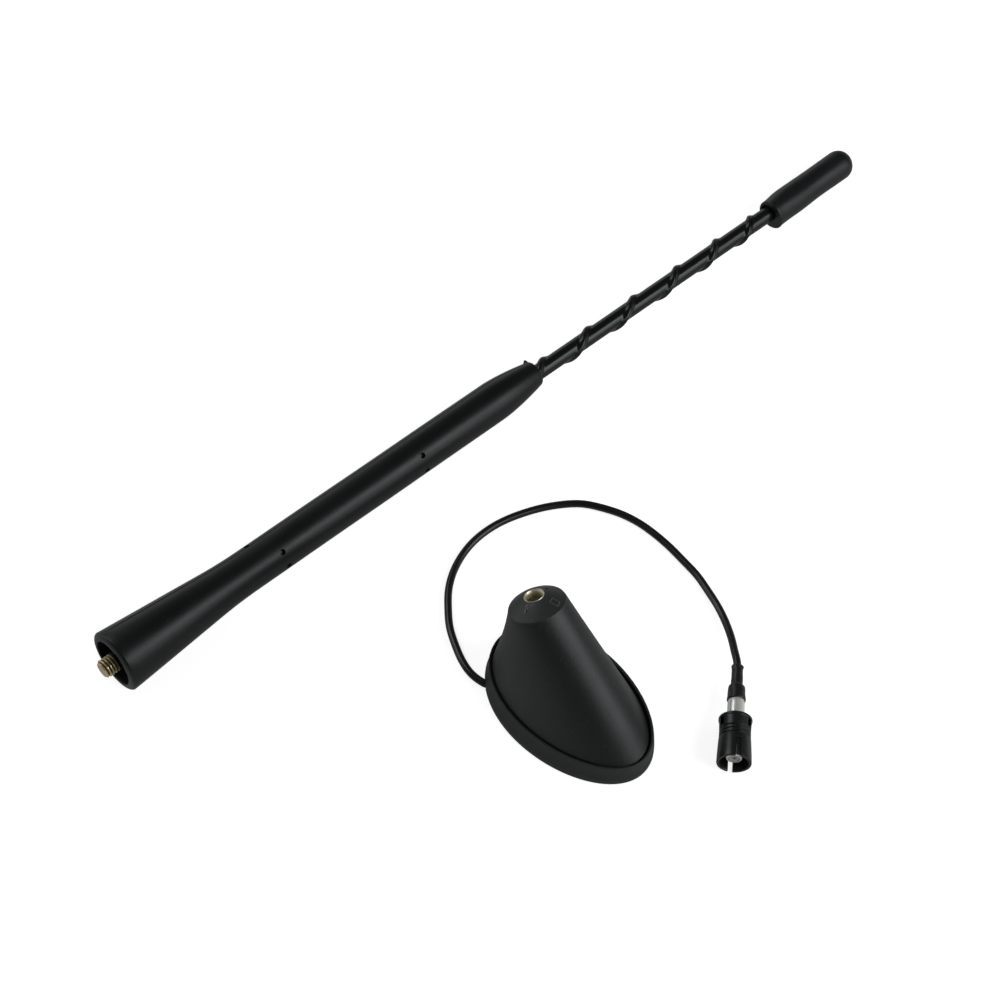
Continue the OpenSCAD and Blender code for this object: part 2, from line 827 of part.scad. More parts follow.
module cable_clamp() {
    color([0.7, 0.7, 0.72])
        translate([lead_hole[0], lead_hole[1], plate_top])
            difference() {
                union() {
                    cylinder(r = lead_r + 0.7, h = clamp_h);
                    translate([-lead_r - 1.4, -lead_r - 0.8, 0])
                        cube([2 * lead_r + 2.8, 2 * lead_r + 1.6, 0.7]);
                }
                translate([0, 0, -1])
                    cylinder(r = lead_r + fit_gap, h = clamp_h + 2);
                translate([0, -lead_r - 2, 0.7])
                    cube([0.4, 2, clamp_h]);
            }
}

// Lead

tail_route = concat(
    [[lead_hole[0], lead_hole[1], post_top - end_gap], [lead_hole[0], lead_hole[1], lead_r + bend_r]],
    [for (a = [18 : 18 : 90]) let (p = lead_hole + lead_dir * (bend_r * (1 - cos(a))))
        [p[0], p[1], lead_r + bend_r * (1 - sin(a))]],
    [[lead_exit[0], lead_exit[1], lead_r]]
);

module lead_tail() {
    color([0.1, 0.1, 0.1])
        ring_solid(bar_rings(
            tail_route,
            [for (p = tail_route) [-lead_dir[1], lead_dir[0], 0]],
            lead_r, 8, [0, 0, -1], [lead_dir[0], lead_dir[1], 0]
        ));
}

plug_dir = [cos(plug_turn), sin(plug_turn), 0];
plug_mid = [plug_at[0], plug_at[1], mouth_r];
shell_back = shell_len;
barrel_back = shell_back + barrel_bare;
wide_back = barrel_back + sleeve_wide;
thin_back = wide_back + sleeve_thin;
lead_end = barrel_back - 1;

lead_route = [
    [lead_exit[0], lead_exit[1], lead_r],
    [-23.5, -12, 1],
    [-28.5, -11, 1],
    [-33.5, -9, 1],
    [-38.5, -6.5, 1],
    [-43, -3, 1],
    [-47, 0.5, 1],
    [-50.5, 5, 1],
    [-53, 10, 1],
    [-54.5, 15, 1],
    [-55, 20.5, 1],
    [-54.5, 26, 1],
    [-53, 31.5, 1],
    [-51, 36.5, 1],
    [-48.5, 41, 1],
    [-45, 45.5, 1],
    [-40.5, 48.5, 1],
    [-35.5, 51, 1],
    [-30, 52.5, 1],
    [-24.5, 53, 1],
    [-19, 53, 1],
    [-13.5, 52.5, 1],
    [-8, 52, 1],
    [-2.5, 50.5, 1.1],
    [2.5, 49, 1.3],
    [8, 46.5, 1.9],
    [13, 43.5, 2.9],
    [17, 40.5, 3.9],
    plug_mid + plug_dir * (thin_back + 1.5),
    plug_mid + plug_dir * (thin_back - 1),
    plug_mid + plug_dir * (wide_back + 1),
    plug_mid + plug_dir * lead_end
];

module lead_cable() {
    color([0.1, 0.1, 0.1])
        ring_solid(bar_rings(
            lead_route,
            [for (p = lead_route) [0, 0, 1]],
            lead_r, 8, [lead_dir[0], lead_dir[1], 0], -plug_dir
        ));
}

// Plug, with its mouth at the start of its own axis

module on_plug() {
    translate(plug_mid)
        rotate([0, 90, plug_turn])
            children();
}

stem_r = lead_r + fit_gap + 0.4;
ferrule_t = 0.3;
ferrule_r = stem_r + fit_gap + ferrule_t;

module shrink_sleeve() {
    wide_r = ferrule_r + fit_gap + shrink_wall;
    thin_r = lead_r + fit_gap + shrink_wall;
    color([0.08, 0.08, 0.08])
        on_plug()
            rotate_extrude()
                polygon([
                    [ferrule_r + fit_gap, barrel_back],
                    [wide_r + 0.15, barrel_back],
                    [wide_r + 0.1, barrel_back + 0.5],
                    [wide_r, barrel_back + 1],
                    [wide_r - 0.05, wide_back - 0.6],
                    [wide_r - 0.3, wide_back - 0.1],
                    [thin_r, wide_back + 0.3],
                    [thin_r, thin_back - 0.5],
                    [thin_r + 0.12, thin_back],
                    [lead_r + fit_gap, thin_back],
                    [lead_r + fit_gap, wide_back - 0.3],
                    [ferrule_r + fit_gap, wide_back - 0.9],
                ]);
}

module crimp_ferrule() {
    color([0.75, 0.75, 0.77])
        on_plug()
            translate([0, 0, barrel_back + fit_gap])
                difference() {
                    cylinder(r = ferrule_r, h = sleeve_wide - 1.2);
                    translate([0, 0, -1])
                        cylinder(r = stem_r + fit_gap, h = sleeve_wide + 1);
                }
}

contact_r = barrel_r - 0.15;
contact_bore = contact_r - 0.5;

module plug_body() {
    color([0.8, 0.8, 0.8])
        on_plug()
            rotate_extrude()
                polygon([
                    [contact_bore, front_back],
                    [contact_r - 0.15, front_back],
                    [contact_r, front_back + 0.15],
                    [contact_r, shroud_len],
                    [barrel_r, shroud_len],
                    [barrel_r, barrel_back],
                    [stem_r, barrel_back],
                    [stem_r, wide_back - 1],
                    [lead_r + fit_gap, wide_back - 1],
                    [lead_r + fit_gap, lead_end - fit_gap],
                    [contact_bore, lead_end - fit_gap],
                ]);
}

module plug_shell() {
    ring_top = shroud_len + 2.2;
    color([0.08, 0.085, 0.085])
        on_plug()
            difference() {
                rotate_extrude()
                    polygon([
                        [mouth_r - shroud_wall, 0],
                        [mouth_r - 0.1, 0],
                        [mouth_r, 0.1],
                        [shroud_r, shroud_len],
                        for (k = [0 : 1], s = [0 : 3])
                            [shroud_r - (s == 1 || s == 2 ? 0.05 : 0.3), shroud_len + 0.1 + k * 1 + s * 0.2],
                        [shroud_r - 0.3, ring_top],
                        [shroud_r - 0.05, ring_top + 0.1],
                        [rim_r, shell_len - rim_t],
                        [rim_r, shell_len],
                        [barrel_r + fit_gap, shell_len],
                        [barrel_r + fit_gap, shroud_len - 1.2],
                        [mouth_r - shroud_wall, shroud_len - 1.8],
                    ]);
                rotate([0, 0, slot_turn])
                    translate([-2 * mouth_r, -slot_w / 2, -1])
                        cube([4 * mouth_r, slot_w, slot_len + 1]);
                for (y = [-pocket_in - pocket_wide, pocket_in])
                    translate([-mouth_r, y, ring_top + fit_gap])
                        cube([mouth_r + pocket_deep, pocket_wide, shell_len - rim_t - ring_top - fit_gap]);
            }
}

module plug_insulator() {
    color([0.9, 0.9, 0.88])
        on_plug()
            translate([0, 0, front_back + fit_gap])
                difference() {
                    cylinder(r = contact_bore - fit_gap, h = lead_end - front_back - 4 * fit_gap);
                    translate([0, 0, -1])
                        cylinder(r = pin_r + fit_gap, h = lead_end);
                }
}

pin_r = 0.4;

module plug_pin() {
    color([0.85, 0.75, 0.45])
        on_plug()
            translate([0, 0, front_back + 0.5])
                cylinder(r = pin_r, h = lead_end - front_back - 0.5 - fit_gap);
}

mast_sleeve();
mast_stud();
whip_core();
loading_coil();
radiator_wire();
whip_jacket();
tip_cap();
base_cover();
mast_socket();
base_seal();
base_plate();
plate_screws();
circuit_board();
board_parts();
board_screws();
contact_strip();
cable_clamp();
lead_tail();
lead_cable();
shrink_sleeve();
crimp_ferrule();
plug_body();
plug_shell();
plug_insulator();
plug_pin();
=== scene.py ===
import math

import bmesh
import bpy
from mathutils import Matrix, Vector


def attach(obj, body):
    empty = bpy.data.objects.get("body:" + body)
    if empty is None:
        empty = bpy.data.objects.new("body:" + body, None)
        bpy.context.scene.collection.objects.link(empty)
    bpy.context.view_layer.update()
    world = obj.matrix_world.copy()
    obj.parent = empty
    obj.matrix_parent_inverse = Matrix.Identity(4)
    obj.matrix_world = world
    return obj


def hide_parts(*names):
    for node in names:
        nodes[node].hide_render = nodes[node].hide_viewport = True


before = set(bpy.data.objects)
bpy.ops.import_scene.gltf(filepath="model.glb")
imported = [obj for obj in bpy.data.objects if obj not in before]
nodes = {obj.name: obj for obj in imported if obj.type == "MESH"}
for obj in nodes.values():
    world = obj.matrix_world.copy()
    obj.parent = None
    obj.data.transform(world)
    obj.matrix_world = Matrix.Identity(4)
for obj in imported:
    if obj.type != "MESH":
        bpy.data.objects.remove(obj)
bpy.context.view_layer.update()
scene = bpy.context.scene
mm = 0.001
print("frame loaded:", len(nodes), "nodes")

# camera, as the photograph was taken
cameraSet = {"place": (229.61, -227.25, 506.16), "target": (-60.82, 30.60, 0.0), "lens": 86.4}
cameraData = bpy.data.cameras.new("camera")
cameraData.lens = cameraSet["lens"]
cameraData.clip_start = 0.01
camera = bpy.data.objects.new("camera", cameraData)
camera.location = Vector(cameraSet["place"]) * mm
lookLine = Vector(cameraSet["target"]) - Vector(cameraSet["place"])
camera.rotation_euler = lookLine.to_track_quat("-Z", "Y").to_euler()
scene.collection.objects.link(camera)
scene.camera = camera


# node trees
class Wire:  # a socket that can be calculated with
    def __init__(self, tree, socket):
        self.tree = tree
        self.socket = socket

    def calc(self, operation, *values):
        return NodeMaker(self.tree).add("ShaderNodeMath", {"operation": operation}, dict(enumerate(values)))[0]

    def __add__(self, other):
        return self.calc("ADD", self, other)

    def __radd__(self, other):
        return self.calc("ADD", other, self)

    def __sub__(self, other):
        return self.calc("SUBTRACT", self, other)

    def __rsub__(self, other):
        return self.calc("SUBTRACT", other, self)

    def __mul__(self, other):
        return self.calc("MULTIPLY", self, other)

    def __rmul__(self, other):
        return self.calc("MULTIPLY", other, self)

    def __truediv__(self, other):
        return self.calc("DIVIDE", self, other)

    def __rtruediv__(self, other):
        return self.calc("DIVIDE", other, self)

    def __pow__(self, other):
        return self.calc("POWER", self, other)

    def smaller(self, other):
        return self.calc("MINIMUM", self, other)

    def larger(self, other):
        return self.calc("MAXIMUM", self, other)

    def limited(self):
        return self.larger(0.0).smaller(1.0)

    def wave(self, kind="COSINE"):
        return self.calc(kind, self)

    def size(self):
        return self.calc("ABSOLUTE", self)


class NodeMaker:
    def __init__(self, tree):
        self.tree = tree

    def add(self, kind, settings=None, sockets=None):
        node = self.tree.nodes.new(kind)
        for key, value in (settings or {}).items():
            if key == "stops":
                ramp = node.color_ramp
                while len(ramp.elements) < len(value):
                    ramp.elements.new(0.5)
                for stop, (place, colour) in zip(ramp.elements, value):
                    stop.position = place
                    stop.color = colour
            else:
                setattr(node, key, value)
        for key, value in (sockets or {}).items():
            if isinstance(value, Wire):
                self.tree.links.new(value.socket, node.inputs[key])
            else:
                node.inputs[key].default_value = value
        return [Wire(self.tree, socket) for socket in node.outputs]


# meshes, all drawn in millimetres about their own axis
def softened(points, steps=5):
    # points are (radius, height) or (radius, height, rounding)
    made = []
    for i, point in enumerate(points):
        here = Vector(point[:2])
        if len(point) < 3 or i in (0, len(points) - 1):
            made.append(tuple(here))
            continue
        before = Vector(points[i - 1][:2]) - here
        after = Vector(points[i + 1][:2]) - here
        reach = min(point[2], 0.48 * before.length, 0.48 * after.length)
        start = here + before.normalized() * reach
        end = here + after.normalized() * reach
        for k in range(steps + 1):
            t = k / steps
            made.append(tuple(start * (1 - t) ** 2 + here * (2 * t * (1 - t)) + end * t**2))
    return made


def stretched(points, longest):
    # extra points on long straight runs
    made = [points[0]]
    for a, b in zip(points, points[1:]):
        count = max(1, math.ceil(math.dist(a, b) / longest))
        for k in range(1, count + 1):
            made.append(tuple(x + (y - x) * k / count for x, y in zip(a, b)))
    return made


def turned(profile, around=128, shape=None):
    # an open profile; it may start or end on the axis
    verts, faces, rows = [], [], []
    for radius, height in profile:
        if radius < 1e-6:
            rows.append([len(verts)])
            verts.append((0.0, 0.0, height))
            continue
        rows.append(list(range(len(verts), len(verts) + around)))
        for k in range(around):
            angle = 2 * math.pi * k / around
            verts.append((radius * math.cos(angle), radius * math.sin(angle), height))
    if shape:
        verts = [shape(*v) for v in verts]
    for low, high in zip(rows, rows[1:]):
        for k in range(around):
            m = (k + 1) % around
            if len(low) == 1:
                faces.append((low[0], high[m], high[k]))
            elif len(high) == 1:
                faces.append((low[k], low[m], high[0]))
            else:
                faces.append((low[k], low[m], high[m], high[k]))
    return verts, faces


def ringed(rings):
    # the last ring joins the first again
    count = len(rings[0])
    verts = [tuple(p) for ring in rings for p in ring]
    faces = []
    for i in range(len(rings)):
        a, b = i * count, (i + 1) % len(rings) * count
        for k in range(count):
            m = (k + 1) % count
            faces.append((a + k, a + m, b + m, b + k))
    return verts, faces


def looped(profile):
    return list(profile) + [profile[0]]


def rawObject(name, verts, faces):
    mesh = bpy.data.meshes.new(name)
    mesh.from_pydata(verts, [], faces)
    obj = bpy.data.objects.new(name, mesh)
    scene.collection.objects.link(obj)
    return obj


def plainMesh(obj):
    graph = bpy.context.evaluated_depsgraph_get()
    mesh = bpy.data.meshes.new_from_object(obj.evaluated_get(graph))
    obj.modifiers.clear()
    obj.data = mesh


def cutAway(obj, cutter):
    modifier = obj.modifiers.new("cut", "BOOLEAN")
    modifier.operation = "DIFFERENCE"
    modifier.solver = "EXACT"
    modifier.object = cutter
    plainMesh(obj)
    bpy.data.objects.remove(cutter)


def placed(part, matrix):
    return [tuple(matrix @ Vector(v)) for v in part[0]], part[1]


def boxShape(low, high, turn=None):
    corners = [(x, y, z) for z in (low[2], high[2]) for y in (low[1], high[1]) for x in (low[0], high[0])]
    faces = [(0, 2, 3, 1), (4, 5, 7, 6), (0, 1, 5, 4), (2, 6, 7, 3), (0, 4, 6, 2), (1, 3, 7, 5)]
    return placed((corners, faces), turn) if turn else (corners, faces)


def together(parts):
    verts, faces = [], []
    for v, f in parts:
        start = len(verts)
        verts += list(v)
        faces += [tuple(i + start for i in face) for face in f]
    return verts, faces


def makeSolid(name, parts):
    obj = rawObject(name, *together(parts))
    shape = bmesh.new()
    shape.from_mesh(obj.data)
    bmesh.ops.remove_doubles(shape, verts=shape.verts, dist=0.0005)
    bmesh.ops.recalc_face_normals(shape, faces=shape.faces)
    shape.to_mesh(obj.data)
    shape.free()
    return obj


def finishPiece(obj, place, material, replaced, sharp=35):
    mesh = obj.data
    mesh.transform(Matrix.Scale(mm, 4) @ place)
    mesh.materials.clear()
    mesh.materials.append(material)
    mesh.polygons.foreach_set("material_index", [0] * len(mesh.polygons))
    mesh.polygons.foreach_set("use_smooth", [True] * len(mesh.polygons))
    mesh.set_sharp_from_angle(angle=math.radians(sharp))
    mesh.update()
    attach(obj, "root")
    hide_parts(*replaced)


# where each group of pieces lies
mastSet = {
    "length": 269.5, "flare": 8.5, "lip": 1.2, "cap": 4.4, "capLength": 34.0, "spot": (-81.6, -79.6), "turn": 0.8,
}
capRest = mastSet["length"] - mastSet["cap"]
capStart = mastSet["length"] - mastSet["capLength"]
mastTilt = math.atan((mastSet["flare"] - mastSet["cap"]) / (capRest - mastSet["lip"]))
mastHeight = mastSet["flare"] * math.cos(mastTilt) + mastSet["lip"] * math.sin(mastTilt)
mastPlace = (
    Matrix.Translation((*mastSet["spot"], mastHeight))
    @ Matrix.Rotation(math.radians(mastSet["turn"]), 4, "Z")
    @ Matrix.Rotation(-math.pi / 2 - mastTilt, 4, "X")
)
neckSet = {"back": 12.7, "height": 31.3, "lean": 24.3, "radius": 7.5}
neckPlace = Matrix.Translation((-neckSet["back"], 0, neckSet["height"])) @ Matrix.Rotation(
    -math.radians(neckSet["lean"]), 4, "Y"
)
# where the lead comes out under the seal
exitSet = {"spot": (-7.5, -6.2), "turn": 203.0, "reach": 13.0, "channel": 1.12, "channelLength": 26.0}
plugSet = {"spot": (39.8, 17.3, 4.32), "turn": 133.2}
plugPlace = (
    Matrix.Translation(plugSet["spot"])
    @ Matrix.Rotation(math.radians(plugSet["turn"]), 4, "Z")
    @ Matrix.Rotation(math.pi / 2, 4, "Y")
)
upright = Matrix.Identity(4)


# finishes
def newMaterial(name):
    material = bpy.data.materials.new(name)
    material.use_nodes = True
    tree = material.node_tree
    tree.nodes.clear()
    return material, NodeMaker(tree)


def closeMaterial(maker, sockets):
    shader = maker.add("ShaderNodeBsdfPrincipled", None, sockets)[0]
    maker.add("ShaderNodeOutputMaterial", None, {"Surface": shader})


def localPoint(maker, place):
    # Object coordinates, read along the piece's own axis
    point = maker.add("ShaderNodeTexCoord")[3]
    if place is upright:
        return point
    sockets = {"Vector": point, "Location": place.translation * mm, "Rotation": place.to_euler()}
    return maker.add("ShaderNodeMapping", {"vector_type": "TEXTURE"}, sockets)[0]


def speckle(maker, point, size, detail=2.0, rough=0.5):
    # noise with grains of the given size in millimetres
    sockets = {"Vector": point, "Scale": 1 / (size * mm), "Detail": detail, "Roughness": rough}
    return maker.add("ShaderNodeTexNoise", {"noise_dimensions": "3D"}, sockets)[0]


def tinted(maker, factor, low, high):
    sockets = {0: factor, 6: low if isinstance(low, Wire) else (*low, 1.0), 7: (*high, 1.0)}
    return maker.add("ShaderNodeMix", {"data_type": "RGBA"}, sockets)[2]


def inHollow(maker, point, hollow):
    # 1 within a radius and between two heights, fading over the blend: all in millimetres; it marks where painted
    # shade goes into a hollow
    x, y, z = maker.add("ShaderNodeSeparateXYZ", None, {0: point})
    inside = ((hollow["radius"] * mm - (x * x + y * y) ** 0.5) * (1000.0 / hollow["blend"])).limited()
    low = ((z - hollow["start"] * mm) * (1000.0 / hollow["blend"])).limited()
    return inside * low * ((hollow["end"] * mm - z) * 4000.0).limited()


coolTint = (0.93, 0.995, 1.0, 1.0)  # black rubber and plastic shine a little cool


def moulded(name, look, place=upright):
    # black rubber or plastic as it leaves the mould: grain, handling marks, a little dust; also painted shade in
    # hollows and painted light on the cone's top
    material, maker = newMaterial(name)
    point = localPoint(maker, place)
    grain = speckle(maker, point, look["grain"], 3.0, 0.6)
    marks = speckle(maker, point, look["marks"], 4.0, 0.55)
    dust = ((speckle(maker, point, look["dust"], 1.0) - 0.69) * 12.0).limited()
    along = maker.add("ShaderNodeVectorMath", {"operation": "MULTIPLY"}, {0: point, 1: look["flow"]})[0]
    streak = speckle(maker, along, look["marks"] * 0.5, 5.0, 0.6)
    uneven = ((marks - 0.35) * 2.2).limited()
    shade = (uneven * 0.7 + streak * 0.3).limited()
    colour = tinted(maker, shade, look["dark"], look["light"])
    colour = tinted(maker, dust * look["dusty"], colour, look["speck"])
    smooth, coarse = look["rough"]
    rough = smooth + (coarse - smooth) * shade + dust * 0.15 + (grain - 0.5) * 0.08
    for hollow in look.get("paintedShade", []):
        # painted shade: the colour darkens towards the hollow's shade colour
        deep = inHollow(maker, point, hollow)
        colour = tinted(maker, deep, colour, hollow["shade"])
        rough = rough + deep * (0.95 - rough)
    if "paintedConeLight" in look:  # painted light: the cone's top is painted lighter, mottled, in place of the light it catches from above
        top = maker.add("ShaderNodeSeparateXYZ", None, {0: localPoint(maker, neckPlace)})[2]
        coneLight = ((top - 0.1 * mm) * 1200.0).limited() * (0.45 + marks)
        colour = tinted(maker, coneLight.limited(), colour, look["paintedConeLight"])
    height = grain * look["depth"] + streak * look["waves"]
    bump = maker.add("ShaderNodeBump", None, {"Strength": 1.0, "Distance": mm, "Height": height})[0]
    closeMaterial(
        maker,
        {
            "Base Color": colour,
            "Roughness": rough,
            "Normal": bump,
            "IOR": 1.5,
            "Specular IOR Level": look["shine"],
            "Specular Tint": coolTint,
        },
    )
    return material


def turnedMetal(name, look, place=upright):
    # rings from the tool, tarnish in patches, and painted shade in hollows
    material, maker = newMaterial(name)
    point = localPoint(maker, place)
    x, y, z = maker.add("ShaderNodeSeparateXYZ", None, {0: point})
    radius = (x * x + y * y) ** 0.5
    rings = maker.add("ShaderNodeCombineXYZ", None, {0: radius, 1: 0.0, 2: z})[0]
    lines = speckle(maker, rings, look["lines"], 3.0, 0.7)
    patches = speckle(maker, point, look["patches"], 4.0, 0.6)
    fine = speckle(maker, point, 0.09, 2.0)
    tarnish = ((patches - 0.42) * 3.0).limited()
    colour = tinted(maker, tarnish * look["tarnish"], look["bright"], look["dull"])
    smooth, coarse = look["rough"]
    rough = smooth + (coarse - smooth) * tarnish + (lines - 0.5) * 0.12
    for hollow in look.get("paintedShade", []):
        # painted shade: the colour darkens towards the hollow's shade colour
        deep = inHollow(maker, point, hollow)
        colour = tinted(maker, deep, colour, hollow["shade"])
        rough = rough + deep * (0.8 - rough)
    height = lines * look["depth"] + fine * look["depth"] * 0.3
    bump = maker.add("ShaderNodeBump", None, {"Strength": 1.0, "Distance": mm, "Height": height})[0]
    closeMaterial(
        maker, {"Base Color": colour, "Roughness": rough, "Normal": bump, "Metallic": look.get("metal", 1.0)}
    )
    return material


def woundWire(name, look, place):
    # close turns of enamelled wire
    material, maker = newMaterial(name)
    point = localPoint(maker, place)
    z = maker.add("ShaderNodeSeparateXYZ", None, {0: point})[2]
    turns = (z * (2 * math.pi / (look["pitch"] * mm))).wave("SINE")
    patches = speckle(maker, point, 1.5, 3.0)
    # painted light and shade: each turn's crest is painted lighter and the gap between turns darker
    colour = tinted(maker, (turns * 0.3 + patches * 0.7).limited(), look["dark"], look["light"])
    rough = 0.28 + patches * 0.2
    bump = maker.add(
        "ShaderNodeBump", None, {"Strength": 1.0, "Distance": mm, "Height": turns * look["pitch"] * 0.25}
    )[0]
    closeMaterial(maker, {"Base Color": colour, "Roughness": rough, "Normal": bump, "Metallic": 0.9})
    return material


def leadJacket(name, look):
    # extruded jacket, read along its own UV map in metres
    material, maker = newMaterial(name)
    along = maker.add("ShaderNodeUVMap", {"uv_map": "along"})[0]
    point = maker.add("ShaderNodeTexCoord")[3]
    drawn = maker.add("ShaderNodeVectorMath", {"operation": "MULTIPLY"}, {0: along, 1: (60.0, 3200.0, 1.0)})[0]
    lines = maker.add(
        "ShaderNodeTexNoise", {"noise_dimensions": "2D"}, {"Vector": drawn, "Scale": 1.0, "Detail": 3.0}
    )[0]
    patches = speckle(maker, point, 5.0, 4.0)
    colour = tinted(maker, (patches * 0.6 + lines * 0.4).limited(), look["dark"], look["light"])
    rough = look["rough"] + (patches - 0.5) * 0.25
    bump = maker.add("ShaderNodeBump", None, {"Strength": 1.0, "Distance": mm, "Height": lines * 0.012})[0]
    closeMaterial(maker, {"Base Color": colour, "Roughness": rough, "Normal": bump})
    return material


def boardMask(name, look):
    # solder mask with copper runs showing through it
    material, maker = newMaterial(name)
    point = localPoint(maker, upright)
    x, y, _ = maker.add("ShaderNodeSeparateXYZ", None, {0: point})
    runs = ((x * 1400.0).wave("SINE") * (y * 900.0 + (x * 500.0).wave("SINE")).wave("SINE")).size()
    copper = ((runs - look["gap"]) * 14.0).limited()
    patches = speckle(maker, point, 2.0, 3.0)
    colour = tinted(maker, (copper * 0.7 + patches * 0.3).limited(), look["dark"], look["light"])
    bump = maker.add("ShaderNodeBump", None, {"Strength": 1.0, "Distance": mm, "Height": copper * 0.03})[0]
    closeMaterial(maker, {"Base Color": colour, "Roughness": 0.3 + patches * 0.15, "Normal": bump})
    return material


flowMast = (1.0, 1.0, 0.06)
sleeveLook = {
    "grain": 0.34, "depth": 0.022, "marks": 14.0, "waves": 0.02, "dust": 0.5, "dusty": 0.5, "flow": flowMast,
    "speck": (0.035, 0.036, 0.037),
    # painted shade: the inside of the cup at the sleeve's flared end is painted near black
    "paintedShade": [{"radius": 6.46, "start": 0.1, "end": 4.0, "blend": 0.15, "shade": (0.0006, 0.0006, 0.0006)}],
    "dark": (0.0045, 0.0047, 0.0050), "light": (0.0076, 0.0079, 0.0083), "rough": (0.31, 0.43), "shine": 0.34,
}
jacketLook = {**sleeveLook, "grain": 0.2, "depth": 0.006, "marks": 8.0, "rough": (0.2, 0.3), "waves": 0.006,
              "dark": (0.0032, 0.0034, 0.0037), "light": (0.0065, 0.0067, 0.0070), "shine": 0.42}
capLook = {**sleeveLook, "marks": 9.0, "rough": (0.34, 0.46), "waves": 0.03,
           "dark": (0.0050, 0.0062, 0.0066), "light": (0.0090, 0.0105, 0.0112), "shine": 0.44}
coverLook = {
    "grain": 0.26, "depth": 0.014, "marks": 12.0, "waves": 0.012, "dust": 0.45, "dusty": 0.7,
    "flow": (1.0, 1.0, 0.3), "speck": (0.06, 0.062, 0.064),
    "dark": (0.0042, 0.0045, 0.0051), "light": (0.0064, 0.0068, 0.0075), "rough": (0.45, 0.55), "shine": 0.56,
}
sealLook = {**coverLook, "grain": 0.14, "rough": (0.5, 0.62), "dusty": 0.5, "shine": 0.4,
            "flow": (1.0, 1.0, 1.0), "dark": (0.0220, 0.0229, 0.0236), "light": (0.0340, 0.0352, 0.0360)}
plugLook = {**coverLook, "shine": 0.48, "grain": 0.10, "depth": 0.006, "marks": 3.0, "rough": (0.26, 0.4),
            "waves": 0.006, "flow": (1.0, 1.0, 0.2),
            "dark": (0.0060, 0.0065, 0.0067), "light": (0.0120, 0.0126, 0.0130)}
shrinkLook = {**plugLook, "marks": 2.0, "rough": (0.34, 0.46), "waves": 0.03}
insulatorLook = {**plugLook, "dark": (0.55, 0.55, 0.52), "light": (0.72, 0.71, 0.68), "rough": (0.4, 0.5)}
partsLook = {**plugLook, "dark": (0.02, 0.02, 0.022), "light": (0.05, 0.05, 0.055)}
fibreLook = {**plugLook, "dark": (0.5, 0.46, 0.3), "light": (0.68, 0.63, 0.45), "rough": (0.4, 0.55),
             "waves": 0.02, "flow": (1.0, 1.0, 0.02)}

finish = {
    "sleeve": moulded("sleeve_rubber", sleeveLook, mastPlace),
    "jacket": moulded("jacket_rubber", jacketLook, mastPlace),
    "cap": moulded("cap_rubber", capLook, mastPlace),
    "cover": moulded("cover_plastic", {**coverLook, "paintedConeLight": (0.025, 0.0258, 0.0262)}),
    # the raised marks are painted light grey: painted highlight for the light their edges catch
    "marks": moulded("cover_marks_painted_light", {**coverLook, "dark": (0.09, 0.091, 0.092), "light": (0.15, 0.151, 0.152)}),
    "seal": moulded("seal_rubber", sealLook),
    "plug": moulded("plug_plastic", plugLook, plugPlace),
    "shrink": moulded("shrink_plastic", shrinkLook, plugPlace),
    "insulator": moulded("insulator", insulatorLook, plugPlace),
    "parts": moulded("board_parts", partsLook),
    "fibre": moulded("glass_fibre", fibreLook, mastPlace),
    "stud": turnedMetal(
        "stud_brass",
        {"lines": 0.12, "patches": 1.8, "tarnish": 0.4, "bright": (0.74, 0.61, 0.36), "dull": (0.46, 0.37, 0.20),
         "rough": (0.3, 0.42), "depth": 0.0015, "metal": 0.8,
         # painted shade along the thread's grooves, and near-black painted shade where the stud sits in the
         # sleeve's cup
         "paintedShade": [{"radius": 2.3, "start": -3.15, "end": 5.0, "blend": 0.3, "shade": (0.05, 0.035, 0.014)},
                     {"radius": 4.0, "start": -0.4, "end": 5.0, "blend": 1.2, "shade": (0.004, 0.0035, 0.002)}]},
        mastPlace,
    ),
    "socket": turnedMetal(
        "socket_brass",
        {"lines": 0.10, "patches": 1.2, "tarnish": 0.4, "bright": (0.92, 0.88, 0.72), "dull": (0.62, 0.57, 0.42),
         "rough": (0.3, 0.42), "depth": 0.003, "metal": 0.75,
         # painted shade on the thread inside the socket
         "paintedShade": [{"radius": 2.42, "start": -5.0, "end": 3.0, "blend": 0.2, "shade": (0.55, 0.49, 0.32)}]},
        neckPlace,
    ),
    "nickel": turnedMetal(
        "satin_nickel",
        {"lines": 0.14, "patches": 2.2, "tarnish": 0.3, "bright": (0.97, 0.98, 0.93), "dull": (0.78, 0.78, 0.74),
         "rough": (0.3, 0.42), "depth": 0.003, "metal": 0.6},
        plugPlace,
    ),
    "dieCast": turnedMetal(
        "die_cast",
        {"lines": 0.5, "patches": 3.0, "tarnish": 0.7, "bright": (0.46, 0.47, 0.48), "dull": (0.3, 0.31, 0.32),
         "rough": (0.42, 0.6), "depth": 0.02},
    ),
    "steel": turnedMetal(
        "zinc_steel",
        {"lines": 0.2, "patches": 1.6, "tarnish": 0.6, "bright": (0.55, 0.56, 0.58), "dull": (0.38, 0.38, 0.36),
         "rough": (0.25, 0.4), "depth": 0.006},
    ),
    "spring": turnedMetal(
        "spring_brass",
        {"lines": 0.2, "patches": 1.6, "tarnish": 0.5, "bright": (0.62, 0.46, 0.2), "dull": (0.4, 0.28, 0.12),
         "rough": (0.22, 0.34), "depth": 0.004},
    ),
    "copper": woundWire(
        "enamelled_copper", {"pitch": 0.3, "dark": (0.22, 0.07, 0.03), "light": (0.5, 0.2, 0.09)}, mastPlace
    ),
    "lead": leadJacket(
        "lead_jacket", {"dark": (0.0036, 0.0038, 0.0041), "light": (0.0085, 0.0088, 0.0092), "rough": 0.3}
    ),
    "board": boardMask("solder_mask", {"gap": 0.5, "dark": (0.01, 0.10, 0.045), "light": (0.05, 0.26, 0.12)}),
}
print("finishes:", len(finish))

